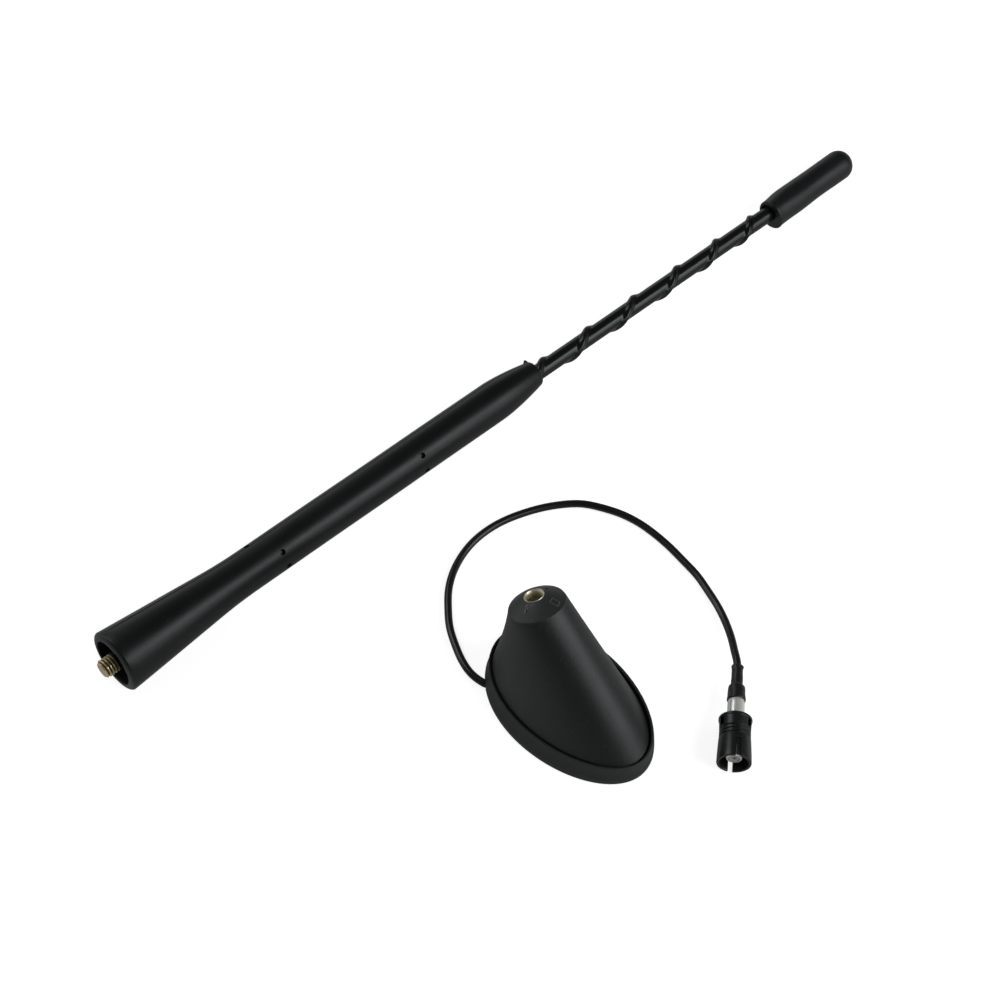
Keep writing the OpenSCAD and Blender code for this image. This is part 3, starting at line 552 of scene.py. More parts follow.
# the lead, as it lies
leadSet = {"radius": 1.0, "around": 28, "step": 0.7}
plugWay = Vector((math.cos(math.radians(plugSet["turn"])), math.sin(math.radians(plugSet["turn"])), 0))
plugMouth = Vector(plugSet["spot"])
exitTurn = math.radians(exitSet["turn"])
exitWay = Vector((math.cos(exitTurn), math.sin(exitTurn), 0))
leadExit = Vector((*exitSet["spot"], leadSet["radius"])) + exitSet["reach"] * exitWay
leadRoute = [
    leadExit, (-23.5, -12, 1), (-28.5, -11, 1), (-33.5, -9, 1), (-38.5, -6.5, 1), (-43, -3, 1), (-47, 0.5, 1),
    (-50.5, 5, 1), (-53, 10, 1), (-54.5, 15, 1), (-55, 20.5, 1), (-54.5, 26, 1), (-53, 31.5, 1), (-51, 36.5, 1),
    (-48.5, 41, 1), (-45, 45.5, 1), (-40.5, 48.5, 1), (-35.5, 51, 1), (-30, 52.5, 1), (-24.5, 53, 1),
    (-19, 53, 1), (-13.5, 52.5, 1), (-8, 52, 1), (-2.5, 50.5, 1.1), (2.5, 49, 1.3), (8, 46.5, 1.9),
    (13, 43.5, 2.9), (17, 40.5, 3.9), plugMouth + plugWay * 29.7, plugMouth + plugWay * 27.2,
    plugMouth + plugWay * 23.4, plugMouth + plugWay * 17.1,
]


def smoothWay(points, step):
    # a curve through the points, then eased so that its bends run on evenly
    points = [Vector(p) for p in points]
    ends = [2 * points[0] - points[1], *points, 2 * points[-1] - points[-2]]
    fine = []
    for a, b, c, d in zip(ends, ends[1:], ends[2:], ends[3:]):
        count = max(2, round((c - b).length / step))
        for k in range(count):
            t = k / count
            fine.append(
                0.5 * (2 * b + (c - a) * t + (2 * a - 5 * b + 4 * c - d) * t**2 + (3 * b - a - 3 * c + d) * t**3)
            )
    fine.append(points[-1])
    for _ in range(12):
        eased = [(p + 2 * q + r) / 4 for p, q, r in zip(fine, fine[1:], fine[2:])]
        fine = [fine[0], *eased, fine[-1]]
    return fine


def sweptTube(name, way, radius, around):
    verts, faces, uvs = [], [], []
    side = Vector((0, 0, 1))
    travelled = [0.0]
    for a, b in zip(way, way[1:]):
        travelled.append(travelled[-1] + (b - a).length)
    for i, point in enumerate(way):
        ahead = (way[min(i + 1, len(way) - 1)] - way[max(i - 1, 0)]).normalized()
        side = (side - ahead * side.dot(ahead)).normalized()
        across = ahead.cross(side)
        for k in range(around):
            angle = 2 * math.pi * k / around
            verts.append(point + (side * math.cos(angle) + across * math.sin(angle)) * radius)
    for i in range(len(way) - 1):
        for k in range(around):
            m = (k + 1) % around
            faces.append((i * around + k, i * around + m, (i + 1) * around + m, (i + 1) * around + k))
            low, high = travelled[i] * mm, travelled[i + 1] * mm
            left, right = k / around * 0.006, (k + 1) / around * 0.006
            uvs += [(low, left), (low, right), (high, right), (high, left)]
    last = (len(way) - 1) * around
    faces.append(tuple(range(around - 1, -1, -1)))
    faces.append(tuple(range(last, last + around)))
    uvs += [(0, 0)] * (2 * around)
    obj = rawObject(name, verts, faces)
    layer = obj.data.uv_layers.new(name="along")
    for loop, uv in zip(layer.data, uvs):
        loop.uv = uv
    return obj


leadWay = smoothWay(leadRoute, leadSet["step"])
lead = sweptTube("lead", leadWay, leadSet["radius"], leadSet["around"])
finishPiece(lead, upright, finish["lead"], ["lead_cable"])
print("lead swept:", len(leadWay), "rings")


# one tree makes every skin with a helical ridge: the whip's jacket and both threads
def helixTree():
    tree = bpy.data.node_groups.new("helixSkin", "GeometryNodeTree")
    tree.interface.new_socket("Geometry", in_out="INPUT", socket_type="NodeSocketGeometry")
    numbers = ["Radius", "Ridge Height", "Ridge Half", "Low End", "High End", "First Crest", "Last Crest",
               "Turns", "Gather", "Phase", "Hand", "Low Fade", "High Fade", "High Fade End", "Flat Top"]
    for name in numbers:
        tree.interface.new_socket(name, in_out="INPUT", socket_type="NodeSocketFloat")
    for name in ("Around", "Along"):
        tree.interface.new_socket(name, in_out="INPUT", socket_type="NodeSocketInt")
    tree.interface.new_socket("Inside", in_out="INPUT", socket_type="NodeSocketBool")
    tree.interface.new_socket("Material", in_out="INPUT", socket_type="NodeSocketMaterial")
    tree.interface.new_socket("Geometry", in_out="OUTPUT", socket_type="NodeSocketGeometry")
    maker = NodeMaker(tree)
    inputs = ["Geometry", *numbers, "Around", "Along", "Inside", "Material"]
    given = dict(zip(inputs, maker.add("NodeGroupInput")))
    grid = maker.add(
        "GeometryNodeMeshGrid",
        None,
        {"Size X": 1.0, "Size Y": 1.0, "Vertices X": given["Around"] + 1.0, "Vertices Y": given["Along"] + 1.0},
    )[0]
    u, v, _ = maker.add("ShaderNodeSeparateXYZ", None, {0: maker.add("GeometryNodeInputPosition")[0]})
    angle = (u + 0.5) * (2 * math.pi)
    height = given["Low End"] + (v + 0.5) * (given["High End"] - given["Low End"])
    share = (height - given["First Crest"]) / (given["Last Crest"] - given["First Crest"])
    turns = given["Turns"] * share - given["Gather"] * share * share * (1.0 - share)
    crest = given["Phase"] + given["Hand"] * turns * (2 * math.pi)
    away = (angle - crest).calc("WRAP", angle - crest, math.pi, -math.pi).size()
    swell = ((away / given["Ridge Half"]).smaller(1.0) * (math.pi / 2)).wave() ** 2.0
    swell = (swell * given["Flat Top"]).smaller(1.0)
    lowFade = ((height - given["Low End"]) / given["Low Fade"]).limited()
    highFade = ((given["High Fade End"] - height) / given["High Fade"]).limited()
    radius = given["Radius"] + given["Ridge Height"] * swell * lowFade * highFade
    across, aside = radius * angle.wave(), radius * angle.wave("SINE")
    place = maker.add("ShaderNodeCombineXYZ", None, {0: across, 1: aside, 2: height})[0]
    bent = maker.add("GeometryNodeSetPosition", None, {"Geometry": grid, "Position": place})[0]
    faced = maker.add("GeometryNodeFlipFaces", None, {"Mesh": bent, "Selection": given["Inside"]})[0]
    merged = maker.add("GeometryNodeMergeByDistance", None, {"Geometry": faced, "Distance": 0.0005})[0]
    whole = maker.add("GeometryNodeRealizeInstances", None, {"Geometry": merged})[0]
    painted = maker.add("GeometryNodeSetMaterial", None, {"Geometry": whole, "Material": given["Material"]})[0]
    maker.add("NodeGroupOutput", None, {0: painted})
    return tree


helix = helixTree()


def helixSkin(values, material):
    obj = rawObject("helixWork", [(0, 0, 0)], [])
    modifier = obj.modifiers.new("helix", "NODES")
    modifier.node_group = helix
    for item in helix.interface.items_tree:
        if item.in_out == "INPUT" and item.name in values:
            modifier[item.identifier] = values[item.name]
        if item.in_out == "INPUT" and item.name == "Material":
            modifier[item.identifier] = material
    plainMesh(obj)
    mesh = obj.data
    made = [tuple(v.co) for v in mesh.vertices], [tuple(f.vertices) for f in mesh.polygons]
    bpy.data.objects.remove(obj)
    return made


# whip jacket; as photographed the rod comes out of the sleeve a little off its middle
whipShift = (0.26, 0.18)
jacketSet = {
    "Radius": 2.25, "Ridge Height": 0.7, "Ridge Half": math.radians(48), "Low End": 135.1, "High End": 259.5,
    "First Crest": 147.5, "Last Crest": capStart - 6.2, "Turns": 5.0, "Gather": 1.2, "Phase": math.radians(210),
    "Hand": -1.0, "Low Fade": 1.0, "High Fade": 3.5, "High Fade End": capStart - 0.5, "Flat Top": 1.0,
    "Around": 96, "Along": 600, "Inside": False,
}
channelSet = {**jacketSet, "Radius": 1.67, "Ridge Height": 0.87, "Along": 350, "Inside": True}


def moved(part, share):
    verts = []
    for x, y, z in part[0]:
        k = share(z)
        verts.append((x + whipShift[0] * k, y + whipShift[1] * k, z))
    return verts, part[1]


def offShare(z):
    rise = min(1.0, max(0.0, (z - 135.6) / 4.0))
    fall = min(1.0, max(0.0, (capStart + 1.3 - z) / 1.5))
    return (3 - 2 * rise) * rise**2 * (3 - 2 * fall) * fall**2


jacketParts = [moved(helixSkin(jacketSet, finish["jacket"]), offShare), helixSkin(channelSet, finish["jacket"])]
for height in (jacketSet["High End"], jacketSet["Low End"]):
    jacketParts.append(turned([(jacketSet["Radius"], height), (channelSet["Radius"], height)], 96))
jacket = makeSolid("whipJacket", jacketParts)
finishPiece(jacket, mastPlace, finish["jacket"], ["whip_jacket"], 60)
print("whip jacket:", len(jacket.data.polygons), "faces")

# mast sleeve
sleeveSet = {
    "length": 143.1, "radius": 5.6, "taper": 32.0, "ease": 11.0, "rise": 0.4, "cupDepth": 3.7, "bore": 3.25,
    "shoulder": 15.5, "drop": 1.9, "seamAngle": 240.0, "seamHeight": -0.24, "seamEnds": (2.0, 140.6),
    "nubAngle": 212.0, "nubHeight": 0.85, "nubStart": 141.9, "lipSize": (2.0, 1.0), "whipHole": (2.6, 139.0),
    "markRadius": 0.72, "markDepth": 1.2,
    "marks": [(51.5, 314.6), (52.0, 5.5), (45.6, 231.5), (99.1, 314.0), (99.2, 8.0)],
}


def sleeveProfile():
    s = sleeveSet
    wide, narrow = mastSet["flare"], s["radius"] + s["rise"]
    low = mastSet["lip"]
    outside = [(wide + (narrow - wide) * k / 16, low + (s["taper"] - low) * k / 16) for k in range(1, 17)]
    outside += [
        (s["radius"] + s["rise"] * (1 - k / 8) ** 2, s["taper"] + s["ease"] * k / 8) for k in range(1, 9)
    ]
    outside += stretched([outside[-1], (s["radius"], s["length"] - s["shoulder"])], 2.5)[1:]
    for k in range(1, 21):
        t = k / 20
        outside.append(
            (s["radius"] - s["drop"] * t**1.6, s["length"] - s["shoulder"] + (s["shoulder"] - 0.45) * t)
        )
    bends = [math.pi / 2 * k / 12 for k in range(13)]
    across, deep = s["lipSize"]
    lip = [(wide - across * (1 - math.sin(a)), deep * (1 - math.cos(a))) for a in bends]
    end, neck = s["length"], s["radius"] - s["drop"]
    top = [(neck - 0.06, end - 0.28), (neck - 0.2, end - 0.08), (neck - 0.42, end), (2.35, end)]
    inside = [(2.35, end - 3.0), (3.0, end - 3.0), (3.0, 22.3), (3.7, 22.3), (3.7, 5.1), (3.05, 5.1),
              (3.05, s["cupDepth"])]
    cup = [(3.6, 3.6), (5.0, 3.4), (5.8, 3.1), (6.1, 2.5), (6.25, 1.5), (6.33, 0.5), (6.37, 0.15), (6.43, 0.03)]
    return looped(cup + lip + outside + top + stretched(inside, 6.0))


def sleeveShape(x, y, z):
    s = sleeveSet
    radius = math.hypot(x, y)
    if radius < s["whipHole"][0] and z > s["whipHole"][1]:  # the hole goes with the whip
        return x + whipShift[0], y + whipShift[1], z
    if radius < s["bore"]:
        return x, y, z
    angle = math.degrees(math.atan2(y, x)) % 360
    grow = 0.0
    for turn in (s["seamAngle"], s["seamAngle"] - 180):  # the mould's parting line, on both sides
        off = abs((angle - turn + 180) % 360 - 180)
        grow += s["seamHeight"] * max(0.0, 1 - off / 1.6) if s["seamEnds"][0] < z < s["seamEnds"][1] else 0.0
    off = abs((angle - s["nubAngle"] + 180) % 360 - 180)
    if z > s["nubStart"]:  # a bit of flash on the end
        grow += s["nubHeight"] * math.exp(-((off / 9) ** 2)) * min(1.0, (z - s["nubStart"]) / 0.7)
    grow += 0.03 * math.sin(z * 0.11 + 1.3) * math.sin(math.radians(angle) + z * 0.05)  # not quite round
    return x * (1 + grow / radius), y * (1 + grow / radius), z


sleeve = makeSolid("mastSleeve", [turned(sleeveProfile(), 225, sleeveShape)])
pins = []  # they cut the round pin marks
for height, angle in sleeveSet["marks"]:
    spin = Matrix.Translation((0, 0, height)) @ Matrix.Rotation(math.radians(angle), 4, "Z")
    spin = spin @ Matrix.Rotation(math.pi / 2, 4, "Y")
    r, d = sleeveSet["markRadius"], sleeveSet["markDepth"]
    bottom = sleeveSet["radius"] - d
    pinProfile = [(0, bottom), (r * 0.6, bottom), (r * 0.95, bottom + 0.2), (r, 5.3), (r + 0.05, 5.5),
                  (r + 0.3, 6.4), (0, 6.4)]
    pins.append(placed(turned(pinProfile, 28), spin))
cutAway(sleeve, makeSolid("pins", pins))
keyway = {  # the hole's keyway for the ridge
    **jacketSet, "Radius": 2.35, "Ridge Height": 0.85, "Low End": 139.0, "High End": 145.0, "Low Fade": 0.01,
    "High Fade": 0.01, "High Fade End": 400.0, "Around": 64, "Along": 24,
}
keyCut = makeSolid("keyway", [moved(helixSkin(keyway, finish["sleeve"]), lambda z: 1.0)])
shape = bmesh.new()
shape.from_mesh(keyCut.data)
bmesh.ops.holes_fill(shape, edges=shape.edges)
bmesh.ops.recalc_face_normals(shape, faces=shape.faces)
shape.to_mesh(keyCut.data)
shape.free()
cutAway(sleeve, keyCut)
finishPiece(sleeve, mastPlace, finish["sleeve"], ["mast_sleeve"], 32)
print("mast sleeve:", len(sleeve.data.polygons), "faces")

# mast stud
threadPitch, threadTurns = 0.85, 8.0
studSet = {
    "Radius": 1.95, "Ridge Height": 0.55, "Ridge Half": math.pi, "Low End": -3.3, "High End": 3.2,
    "First Crest": -2.9, "Last Crest": -2.9 + threadPitch * threadTurns, "Turns": threadTurns, "Gather": 0.0,
    "Phase": 1.1, "Hand": 1.0, "Low Fade": 0.55, "High Fade": 0.5, "High Fade End": 3.2, "Flat Top": 1.25,
    "Around": 96, "Along": 240, "Inside": False,
}
studFoot = [(0, -3.3), (1.2, -3.3), (1.95, -3.3)]
studBody = [(1.95, 3.2), (2.1, 3.3), (2.2, 3.7), (2.95, 3.7, 0.15), (2.95, 5.2), (3.6, 5.2, 0.15)]
for k in (1, 2):  # two grooves that the rubber grips
    z = 5.2 + 17 * k / 3
    studBody += [(3.6, z, 0.1), (3.2, z + 0.05, 0.1), (3.2, z + 1.15, 0.1), (3.6, z + 1.2, 0.1)]
studBody += [(3.6, 22.2, 0.2), (1.6, 22.2, 0.1), (1.6, 10.2), (0, 10.2)]
stud = makeSolid(
    "mastStud", [turned(studFoot, 96), helixSkin(studSet, finish["stud"]), turned(softened(studBody), 96)]
)
finishPiece(stud, mastPlace, finish["stud"], ["mast_stud"], 40)

# tip cap: waisted, flared at its mouth, and out of true there
capSet = {"waist": 0.15, "flare": 0.2, "shift": (0.5, 0.15), "corner": 0.3, "fuller": 0.32, "slimmer": 0.75}


def capShape(x, y, z):
    up = z - capStart
    share = up / mastSet["capLength"]
    radius = math.hypot(x, y)
    first, last = capSet["shift"]
    shift = first + (last - first) * max(0.0, min(1.0, share))
    outer = min(1.0, max(0.0, (radius - 2.55) / 1.5))  # the bore stays round the whip
    if outer == 0.0:
        return x, y, z
    angle = math.atan2(y, x)
    grow = 0.07 * math.sin(share * 9.5 + 0.8) * math.cos(angle - 0.6) * (1 - share)
    corner = math.exp(-(((math.degrees(angle) - 20 + 180) % 360 - 180) / 40) ** 2)
    grow += capSet["corner"] * corner * math.exp(-up / 1.3)
    low, high = max(0.0, -math.cos(angle - 0.35)), max(0.0, math.cos(angle - 0.35))
    grow += capSet["fuller"] * high * math.exp(-(((up - 11) / 6) ** 2))
    grow -= capSet["slimmer"] * low * math.exp(-((up / 4) ** 2))
    return x * (1 + outer * grow / radius) + outer * shift, y * (1 + outer * grow / radius), z


wide, flare = mastSet["cap"], capSet["flare"]
capOuter = [(2.6, capStart + 0.02), (2.9, capStart), (wide + 0.05, capStart), (wide + flare, capStart + 0.12),
            (wide + 0.24, capStart + 0.45)]
for k in range(1, 31):
    t = k / 31
    capOuter.append(
        (wide + flare * (1 - t) ** 3 - capSet["waist"] * math.sin(math.pi * t) ** 2,
         capStart + (capRest - capStart) * t)
    )
for a in range(0, 90, 6):
    capOuter.append((wide * math.cos(math.radians(a)), capRest + wide * math.sin(math.radians(a))))
capOuter.append((0, mastSet["length"]))
capInner = [(0, 263.8), (1.6, 263.8), (1.6, 259.8), (2.35, 259.8), (2.35, capStart + 1.4),
            (2.45, capStart + 1.35), (2.5, capStart + 1.1), (2.5, capStart + 0.2), (2.6, capStart + 0.02)]
tipCap = makeSolid("tipCap", [turned(capOuter, 144, capShape), turned(stretched(capInner, 6.0), 144, capShape)])
finishPiece(tipCap, mastPlace, finish["cap"], ["tip_cap"], 40)
print("mast: sleeve, stud, jacket, cap")

# base cover: from the foot oval to the neck's circle, bowed inwards at the back
coverSet = {
    "halfLength": 24.2, "halfWidth": 14.1, "egg": 0.07, "wall": 2.0, "bow": 0.35, "foot": 3.0, "skirt": 5.5,
    "around": 160, "hole": 2.7, "noseBow": 0.1, "coneSlope": 32.0,
    "cone": [(7.5, 0.0), (7.4, 0.3), (7.32, 0.52), (7.26, 0.66), (6.95, 0.87), (6.5, 1.16), (5.9, 1.56),
             (5.2, 2.02), (4.5, 2.42), (3.9, 2.75), (3.35, 3.03), (2.95, 3.18), (2.7, 3.24)],
}


def ovalRing(a, b, height):
    ring = []
    for k in range(coverSet["around"]):
        t = 2 * math.pi * k / coverSet["around"]
        ring.append(Vector((a * math.cos(t), b * (1 - coverSet["egg"] * math.cos(t)) * math.sin(t), height)))
    return ring


def neckRing(radius, height):
    ring = []
    for k in range(coverSet["around"]):
        t = 2 * math.pi * k / coverSet["around"]
        ring.append(neckPlace @ Vector((radius * math.cos(t), radius * math.sin(t), height)))
    return ring


def skinRing(u, inset):
    low = ovalRing(coverSet["halfLength"] - inset, coverSet["halfWidth"] - inset, coverSet["skirt"])
    high = neckRing(neckSet["radius"] - inset, 0)
    ring = []
    for k, (p, q) in enumerate(zip(low, high)):
        rear = (1 - math.cos(2 * math.pi * k / coverSet["around"])) / 2
        lean = u + u * (1 - u) * (coverSet["bow"] * rear - coverSet["noseBow"] * (1 - rear))
        ring.append(Vector((p.x + (q.x - p.x) * lean, p.y + (q.y - p.y) * lean, p.z + (q.z - p.z) * u)))
    return ring


foot, wall = coverSet["foot"], coverSet["wall"]
long, wide = coverSet["halfLength"], coverSet["halfWidth"]
coverRings = [ovalRing(long - 0.15, wide - 0.15, foot), ovalRing(long, wide, foot + 0.15)]
coverRings += [ovalRing(long, wide, 4.3), *(skinRing(k / 40, 0) for k in range(41))]
coverRings += [neckRing(r, h) for r, h in coverSet["cone"][1:]]
coverRings += [neckRing(coverSet["hole"], 1.7), neckRing(3.3, 1.7), neckRing(3.3, -4.5), neckRing(4.5, -4.5)]
coverRings += [skinRing(0.86 - 0.86 * k / 12, wall) for k in range(13)]
coverRings += [ovalRing(long - wall, wide - wall, 4.5), ovalRing(long - wall, wide - wall, foot)]
cover = makeSolid("baseCover", [ringed(coverRings)])


# moulded marks on the cone: a small outlined panel, a short bar, a notch at the back
def coneMark(turn, distance, boxes, rise):
    spin = Matrix.Rotation(math.radians(turn), 4, "Z") @ Matrix.Translation((distance, 0, 0))
    slope = Matrix.Rotation(math.radians(coverSet["coneSlope"]), 4, "Y")
    lift = 0.0
    for (r0, h0), (r1, h1) in zip(coverSet["cone"], coverSet["cone"][1:]):
        if r1 <= distance <= r0:
            lift = h0 + (h1 - h0) * (r0 - distance) / (r0 - r1)
    whole = neckPlace @ Matrix.Translation((0, 0, lift)) @ spin @ slope
    return [boxShape((*low, -0.3), (*high, rise), whole) for low, high in boxes]


outline = [((-1.15, -0.85), (-0.95, 0.85)), ((0.95, -0.85), (1.15, 0.85)), ((-0.95, -0.85), (0.95, -0.67)),
           ((-0.95, 0.67), (0.95, 0.85))]
bar = [((-1.2, -0.18), (1.1, 0.12)), ((-0.7, 0.35), (0.1, 0.55))]
markParts = coneMark(22, 5.45, outline, 0.07) + coneMark(-69, 4.45, bar, 0.28)
marks = makeSolid("coneMarks", markParts)
cutAway(cover, makeSolid("notch", coneMark(90, 3.9, [((-0.45, -0.35), (0.45, 0.35))], 0.5)))
finishPiece(cover, upright, finish["cover"], ["base_cover"], 30)
finishPiece(marks, upright, finish["marks"], [], 30)
print("base cover:", len(cover.data.polygons), "faces")

# seal
sealProfile = [
    (25.3, 16.0, 0.0), (25.52, 16.22, 0.08), (25.6, 16.3, 0.35), (25.6, 16.3, 1.3), (25.56, 16.25, 1.9),
    (25.4, 16.08, 2.3), (25.3, 15.6, 4.2), (25.28, 15.3, 5.4), (25.22, 15.2, 5.8), (25.1, 15.05, 5.9),
    (24.85, 14.75, 5.88), (24.65, 14.55, 5.75), (24.58, 14.48, 5.4), (24.6, 14.5, 3.05), (24.75, 14.65, 3.0),
    (20.5, 10.4, 3.0), (20.4, 10.3, 2.9), (20.4, 10.3, 0.1), (20.5, 10.4, 0.0),
]
sealRings = [ovalRing(*size) for size in sealProfile]
for ring in sealRings:  # the lip lies a little to one side
    for point in ring:
        point.y += 0.33 * min(1.0, max(0.0, (point.z - 2.3) / 2))
seal = makeSolid("baseSeal", [ringed(sealRings)])
wayOut = Matrix.Translation((*exitSet["spot"], 0)) @ Matrix.Rotation(exitTurn, 4, "Z")
lying = wayOut @ Matrix.Translation((0, 0, leadSet["radius"])) @ Matrix.Rotation(math.pi / 2, 4, "Y")
r, long = exitSet["channel"], exitSet["channelLength"]
cutAway(seal, makeSolid("channel", [placed(turned([(0, 0), (r, 0), (r, long), (0, long)], 32), lying)]))
cutAway(seal, makeSolid("slit", [boxShape((0, -r, -1), (long, r, leadSet["radius"]), wayOut)]))
finishPiece(seal, upright, finish["seal"], ["base_seal"], 32)

# socket in the neck, with its thread
socketSet = {
    **studSet, "Radius": 2.36, "Ridge Height": -0.3, "Low End": -3.6, "High End": 3.0, "First Crest": -3.2,
    "Last Crest": -3.2 + threadPitch * threadTurns, "Phase": 0.4, "Low Fade": 0.3, "High Fade": 0.3,
    "High Fade End": 3.0, "Inside": True,
}
socketOuter = [(2.36, 3.0), (2.4, 3.28), (2.46, 3.41), (2.52, 3.45), (2.58, 3.4), (2.6, 3.3), (2.6, 1.58),
               (3.2, 1.58)]
for k in (1, 2):  # two grooves that the plastic grips
    z = 1.58 - 6.18 * k / 3
    socketOuter += [(3.2, z, 0.1), (2.9, z - 0.05, 0.1), (2.9, z - 0.75, 0.1), (3.2, z - 0.8, 0.1)]
socketOuter += [(3.2, -4.6), (4.2, -4.6, 0.15), (4.2, -5.8, 0.15), (1.2, -5.8, 0.1), (1.2, -14.0, 0.2),
                (0, -14.0)]
socketFloor = [(0, -4.05), (2.1, -3.8), (2.36, -3.6)]
socket = makeSolid(
    "mastSocket",
    [helixSkin(socketSet, finish["socket"]), turned(softened(socketOuter), 96), turned(socketFloor, 96)],
)
finishPiece(socket, neckPlace, finish["socket"], ["mast_socket"], 40)
print("base: cover, seal, socket")

# plug shell
shellSet = {
    "slotWidth": 1.25, "slotLength": 5.3, "slotTurn": 10, "pocketSides": (2.95, 3.75), "pocketEnds": (9.6, 11.95),
    "edge": 0.06,
}
shellOuter = [
    (3.6, 0.12), (3.68, 0.0), (4.16, 0.0), (4.29, 0.08), (4.32, 0.25), (4.28, 1.6), (4.14, 4.6), (4.02, 6.6),
    (3.98, 6.9, 0.1), (3.68, 7.0, 0.08), (3.68, 7.2, 0.08), (3.95, 7.25, 0.1),  # three ring grooves
    (3.95, 7.8, 0.1), (3.66, 7.9, 0.08), (3.66, 8.15, 0.08), (3.93, 8.25, 0.1),
    (3.93, 8.8, 0.1), (3.64, 8.9, 0.08), (3.66, 9.15, 0.08), (3.93, 9.3, 0.12),
    (4.02, 11.6), (4.05, 11.95, 0.1), (4.2, 12.05, 0.06), (4.2, 12.7, 0.22), (2.25, 12.7, 0.1), (2.25, 7.0),
    (3.6, 6.4, 0.3), (3.6, 0.12),
]
shell = makeSolid("plugShell", [turned(stretched(softened(shellOuter), 1.5), 144)])
slotSpin = Matrix.Rotation(math.radians(shellSet["slotTurn"]), 4, "Z")
half = shellSet["slotWidth"] / 2
cutAway(shell, makeSolid("slots", [boxShape((-9, -half, -1), (9, half, shellSet["slotLength"]), slotSpin)]))
inner, outer = shellSet["pocketSides"]
start, end = shellSet["pocketEnds"]
pockets = [boxShape((-5, inner, start), (1, outer, end)), boxShape((-5, -outer, start), (1, -inner, end))]
cutAway(shell, makeSolid("pockets", pockets))
bevel = shell.modifiers.new("edges", "BEVEL")
bevel.width = shellSet["edge"]
bevel.segments = 2
bevel.angle_limit = math.radians(50)
plainMesh(shell)
finishPiece(shell, plugPlace, finish["plug"], ["plug_shell"], 35)

# silver barrel and contact
barrelProfile = [
    (1.5, 1.4), (1.85, 1.4), (1.97, 1.46), (2.0, 1.6), (2.0, 8.2), (2.15, 8.2), (2.15, 12.9), (2.13, 13.0),
    (2.13, 17.7), (2.0, 18.1), (1.5, 18.1), (1.5, 21.4), (1.1, 21.4), (1.1, 17.0), (1.5, 17.0),
]
barrel = makeSolid("plugBarrel", [turned(stretched(looped(barrelProfile), 1.5), 96)])
finishPiece(barrel, plugPlace, finish["nickel"], ["plug_body"], 40)

# shrink sleeve, a little uneven where it has drawn in
shrinkProfile = [
    (1.98, 18.12), (2.28, 18.1), (2.36, 18.25), (2.34, 18.8), (2.27, 19.4), (2.22, 20.6), (2.18, 21.5),
    (2.08, 22.1), (1.8, 22.45), (1.55, 22.65), (1.48, 23.0), (1.46, 24.5), (1.45, 27.2), (1.5, 27.8),
    (1.6, 28.15), (1.55, 28.25), (1.2, 28.2), (1.1, 27.9), (1.1, 22.2), (1.98, 21.6),
]


def shrinkShape(x, y, z):
    radius = math.hypot(x, y)
    if radius < 1.3 or z < 18.3:
        return x, y, z
    angle = math.atan2(y, x)
    grow = 0.03 * math.sin(2 * angle + z) + 0.02 * math.sin(3 * angle - 2 * z)
    return x * (1 + grow / radius), y * (1 + grow / radius), z


shrink = makeSolid("shrinkSleeve", [turned(stretched(looped(shrinkProfile), 0.5), 72, shrinkShape)])
finishPiece(shrink, plugPlace, finish["shrink"], ["shrink_sleeve"], 40)
print("plug: shell, barrel, shrink sleeve")

# CAD nodes that keep their shape
kept = {
    "whip_core": "fibre", "loading_coil": "copper", "radiator_wire": "copper", "base_plate": "dieCast",
    "plate_screws": "steel", "circuit_board": "board", "board_parts": "parts", "board_screws": "steel",
    "contact_strip": "spring", "cable_clamp": "steel", "lead_tail": "plug", "crimp_ferrule": "nickel",
    "plug_insulator": "insulator", "plug_pin": "spring",
}
for node, look in kept.items():
    mesh = nodes[node].data
    if mesh.materials:
        for k in range(len(mesh.materials)):
            mesh.materials[k] = finish[look]
    else:
        mesh.materials.append(finish[look])
print("kept CAD nodes:", len(kept))

wayInMetres = [list(p * mm) for p in leadWay]

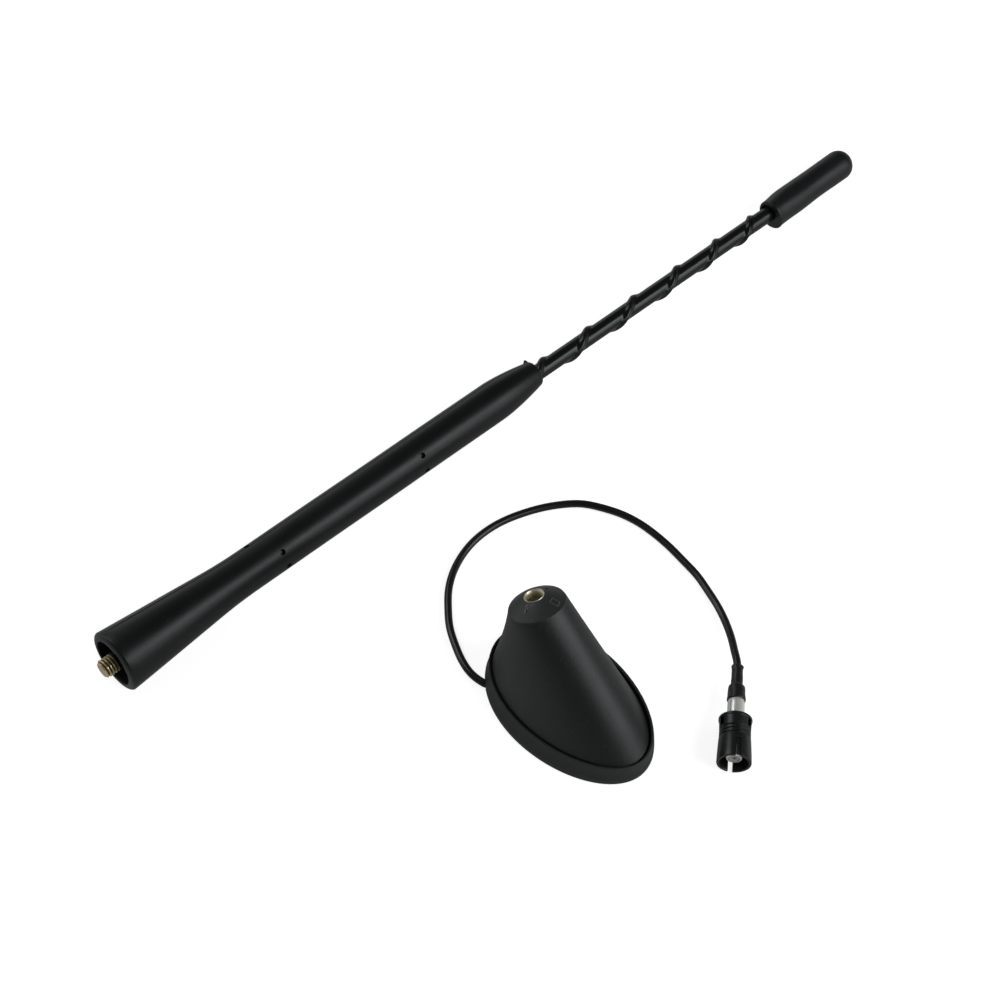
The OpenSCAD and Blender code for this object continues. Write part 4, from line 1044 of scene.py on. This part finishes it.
# studio: pale floor, soft light from both sides
studio = {
    "overhead": 0.08, "horizon": 0.2, "floor": (0.8, 0.8, 0.8), "seenGlow": 0.8, "mirrorGlow": 0.06,
    "reach": 6, "aim": (-0.03, 0.03, 0.0),
    "lamps": [
        {"name": "key", "place": (0.64, 0.33, 0.6), "size": (0.9, 0.3), "power": 2.8},
        {"name": "side", "place": (0.66, 0.5, 0.3), "size": (0.5, 0.5), "power": 1.5},
        {"name": "top", "place": (-0.65, -0.12, 0.64), "size": (0.5, 0.4), "power": 1.4},
        {"name": "left", "place": (-0.85, -0.55, 0.25), "size": (0.4, 0.4), "power": 0.9},
        {"name": "back", "place": (-0.85, 0.42, 0.22), "size": (0.5, 0.4), "power": 0.4},
    ],
}
world = bpy.data.worlds.new("studio")
scene.world = world
world.use_nodes = True
world.node_tree.nodes.clear()
sky = NodeMaker(world.node_tree)
rays = sky.add("ShaderNodeLightPath")
ahead = sky.add("ShaderNodeTexCoord")[0]
low = 1.0 - sky.add("ShaderNodeSeparateXYZ", None, {0: ahead})[2].limited()
room = studio["overhead"] + low * low * low * (studio["horizon"] - studio["overhead"])
strength = rays[0] + (1.0 - rays[0]) * room
skyShader = sky.add("ShaderNodeBackground", None, {"Color": (1, 1, 1, 1), "Strength": strength})[0]
sky.add("ShaderNodeOutputWorld", None, {"Surface": skyShader})

far = studio["reach"]
floor = rawObject("floor", [(-far, -far, 0), (far, -far, 0), (far, far, 0), (-far, far, 0)], [(0, 1, 2, 3)])
floorMaterial, maker = newMaterial("floor_card")
rays = maker.add("ShaderNodeLightPath")
seen = rays[0] * studio["seenGlow"] + rays[3].larger(rays[6]) * studio["mirrorGlow"]
card = maker.add("ShaderNodeBsdfDiffuse", None, {"Color": (*studio["floor"], 1.0)})[0]
glow = maker.add("ShaderNodeEmission", None, {"Color": (1, 1, 1, 1), "Strength": seen})[0]
both = maker.add("ShaderNodeAddShader", None, {0: card, 1: glow})[0]
maker.add("ShaderNodeOutputMaterial", None, {"Surface": both})
floor.data.materials.append(floorMaterial)

for lamp in studio["lamps"]:
    data = bpy.data.lights.new(lamp["name"], "AREA")
    data.shape = "RECTANGLE"
    data.size, data.size_y = lamp["size"]
    data.energy = lamp["power"]
    obj = bpy.data.objects.new(lamp["name"], data)
    obj.location = lamp["place"]
    aim = Vector(studio["aim"]) - obj.location
    obj.rotation_euler = aim.to_track_quat("-Z", "Y").to_euler()
    scene.collection.objects.link(obj)
scene.view_settings.view_transform = "Standard"
print("studio ready")
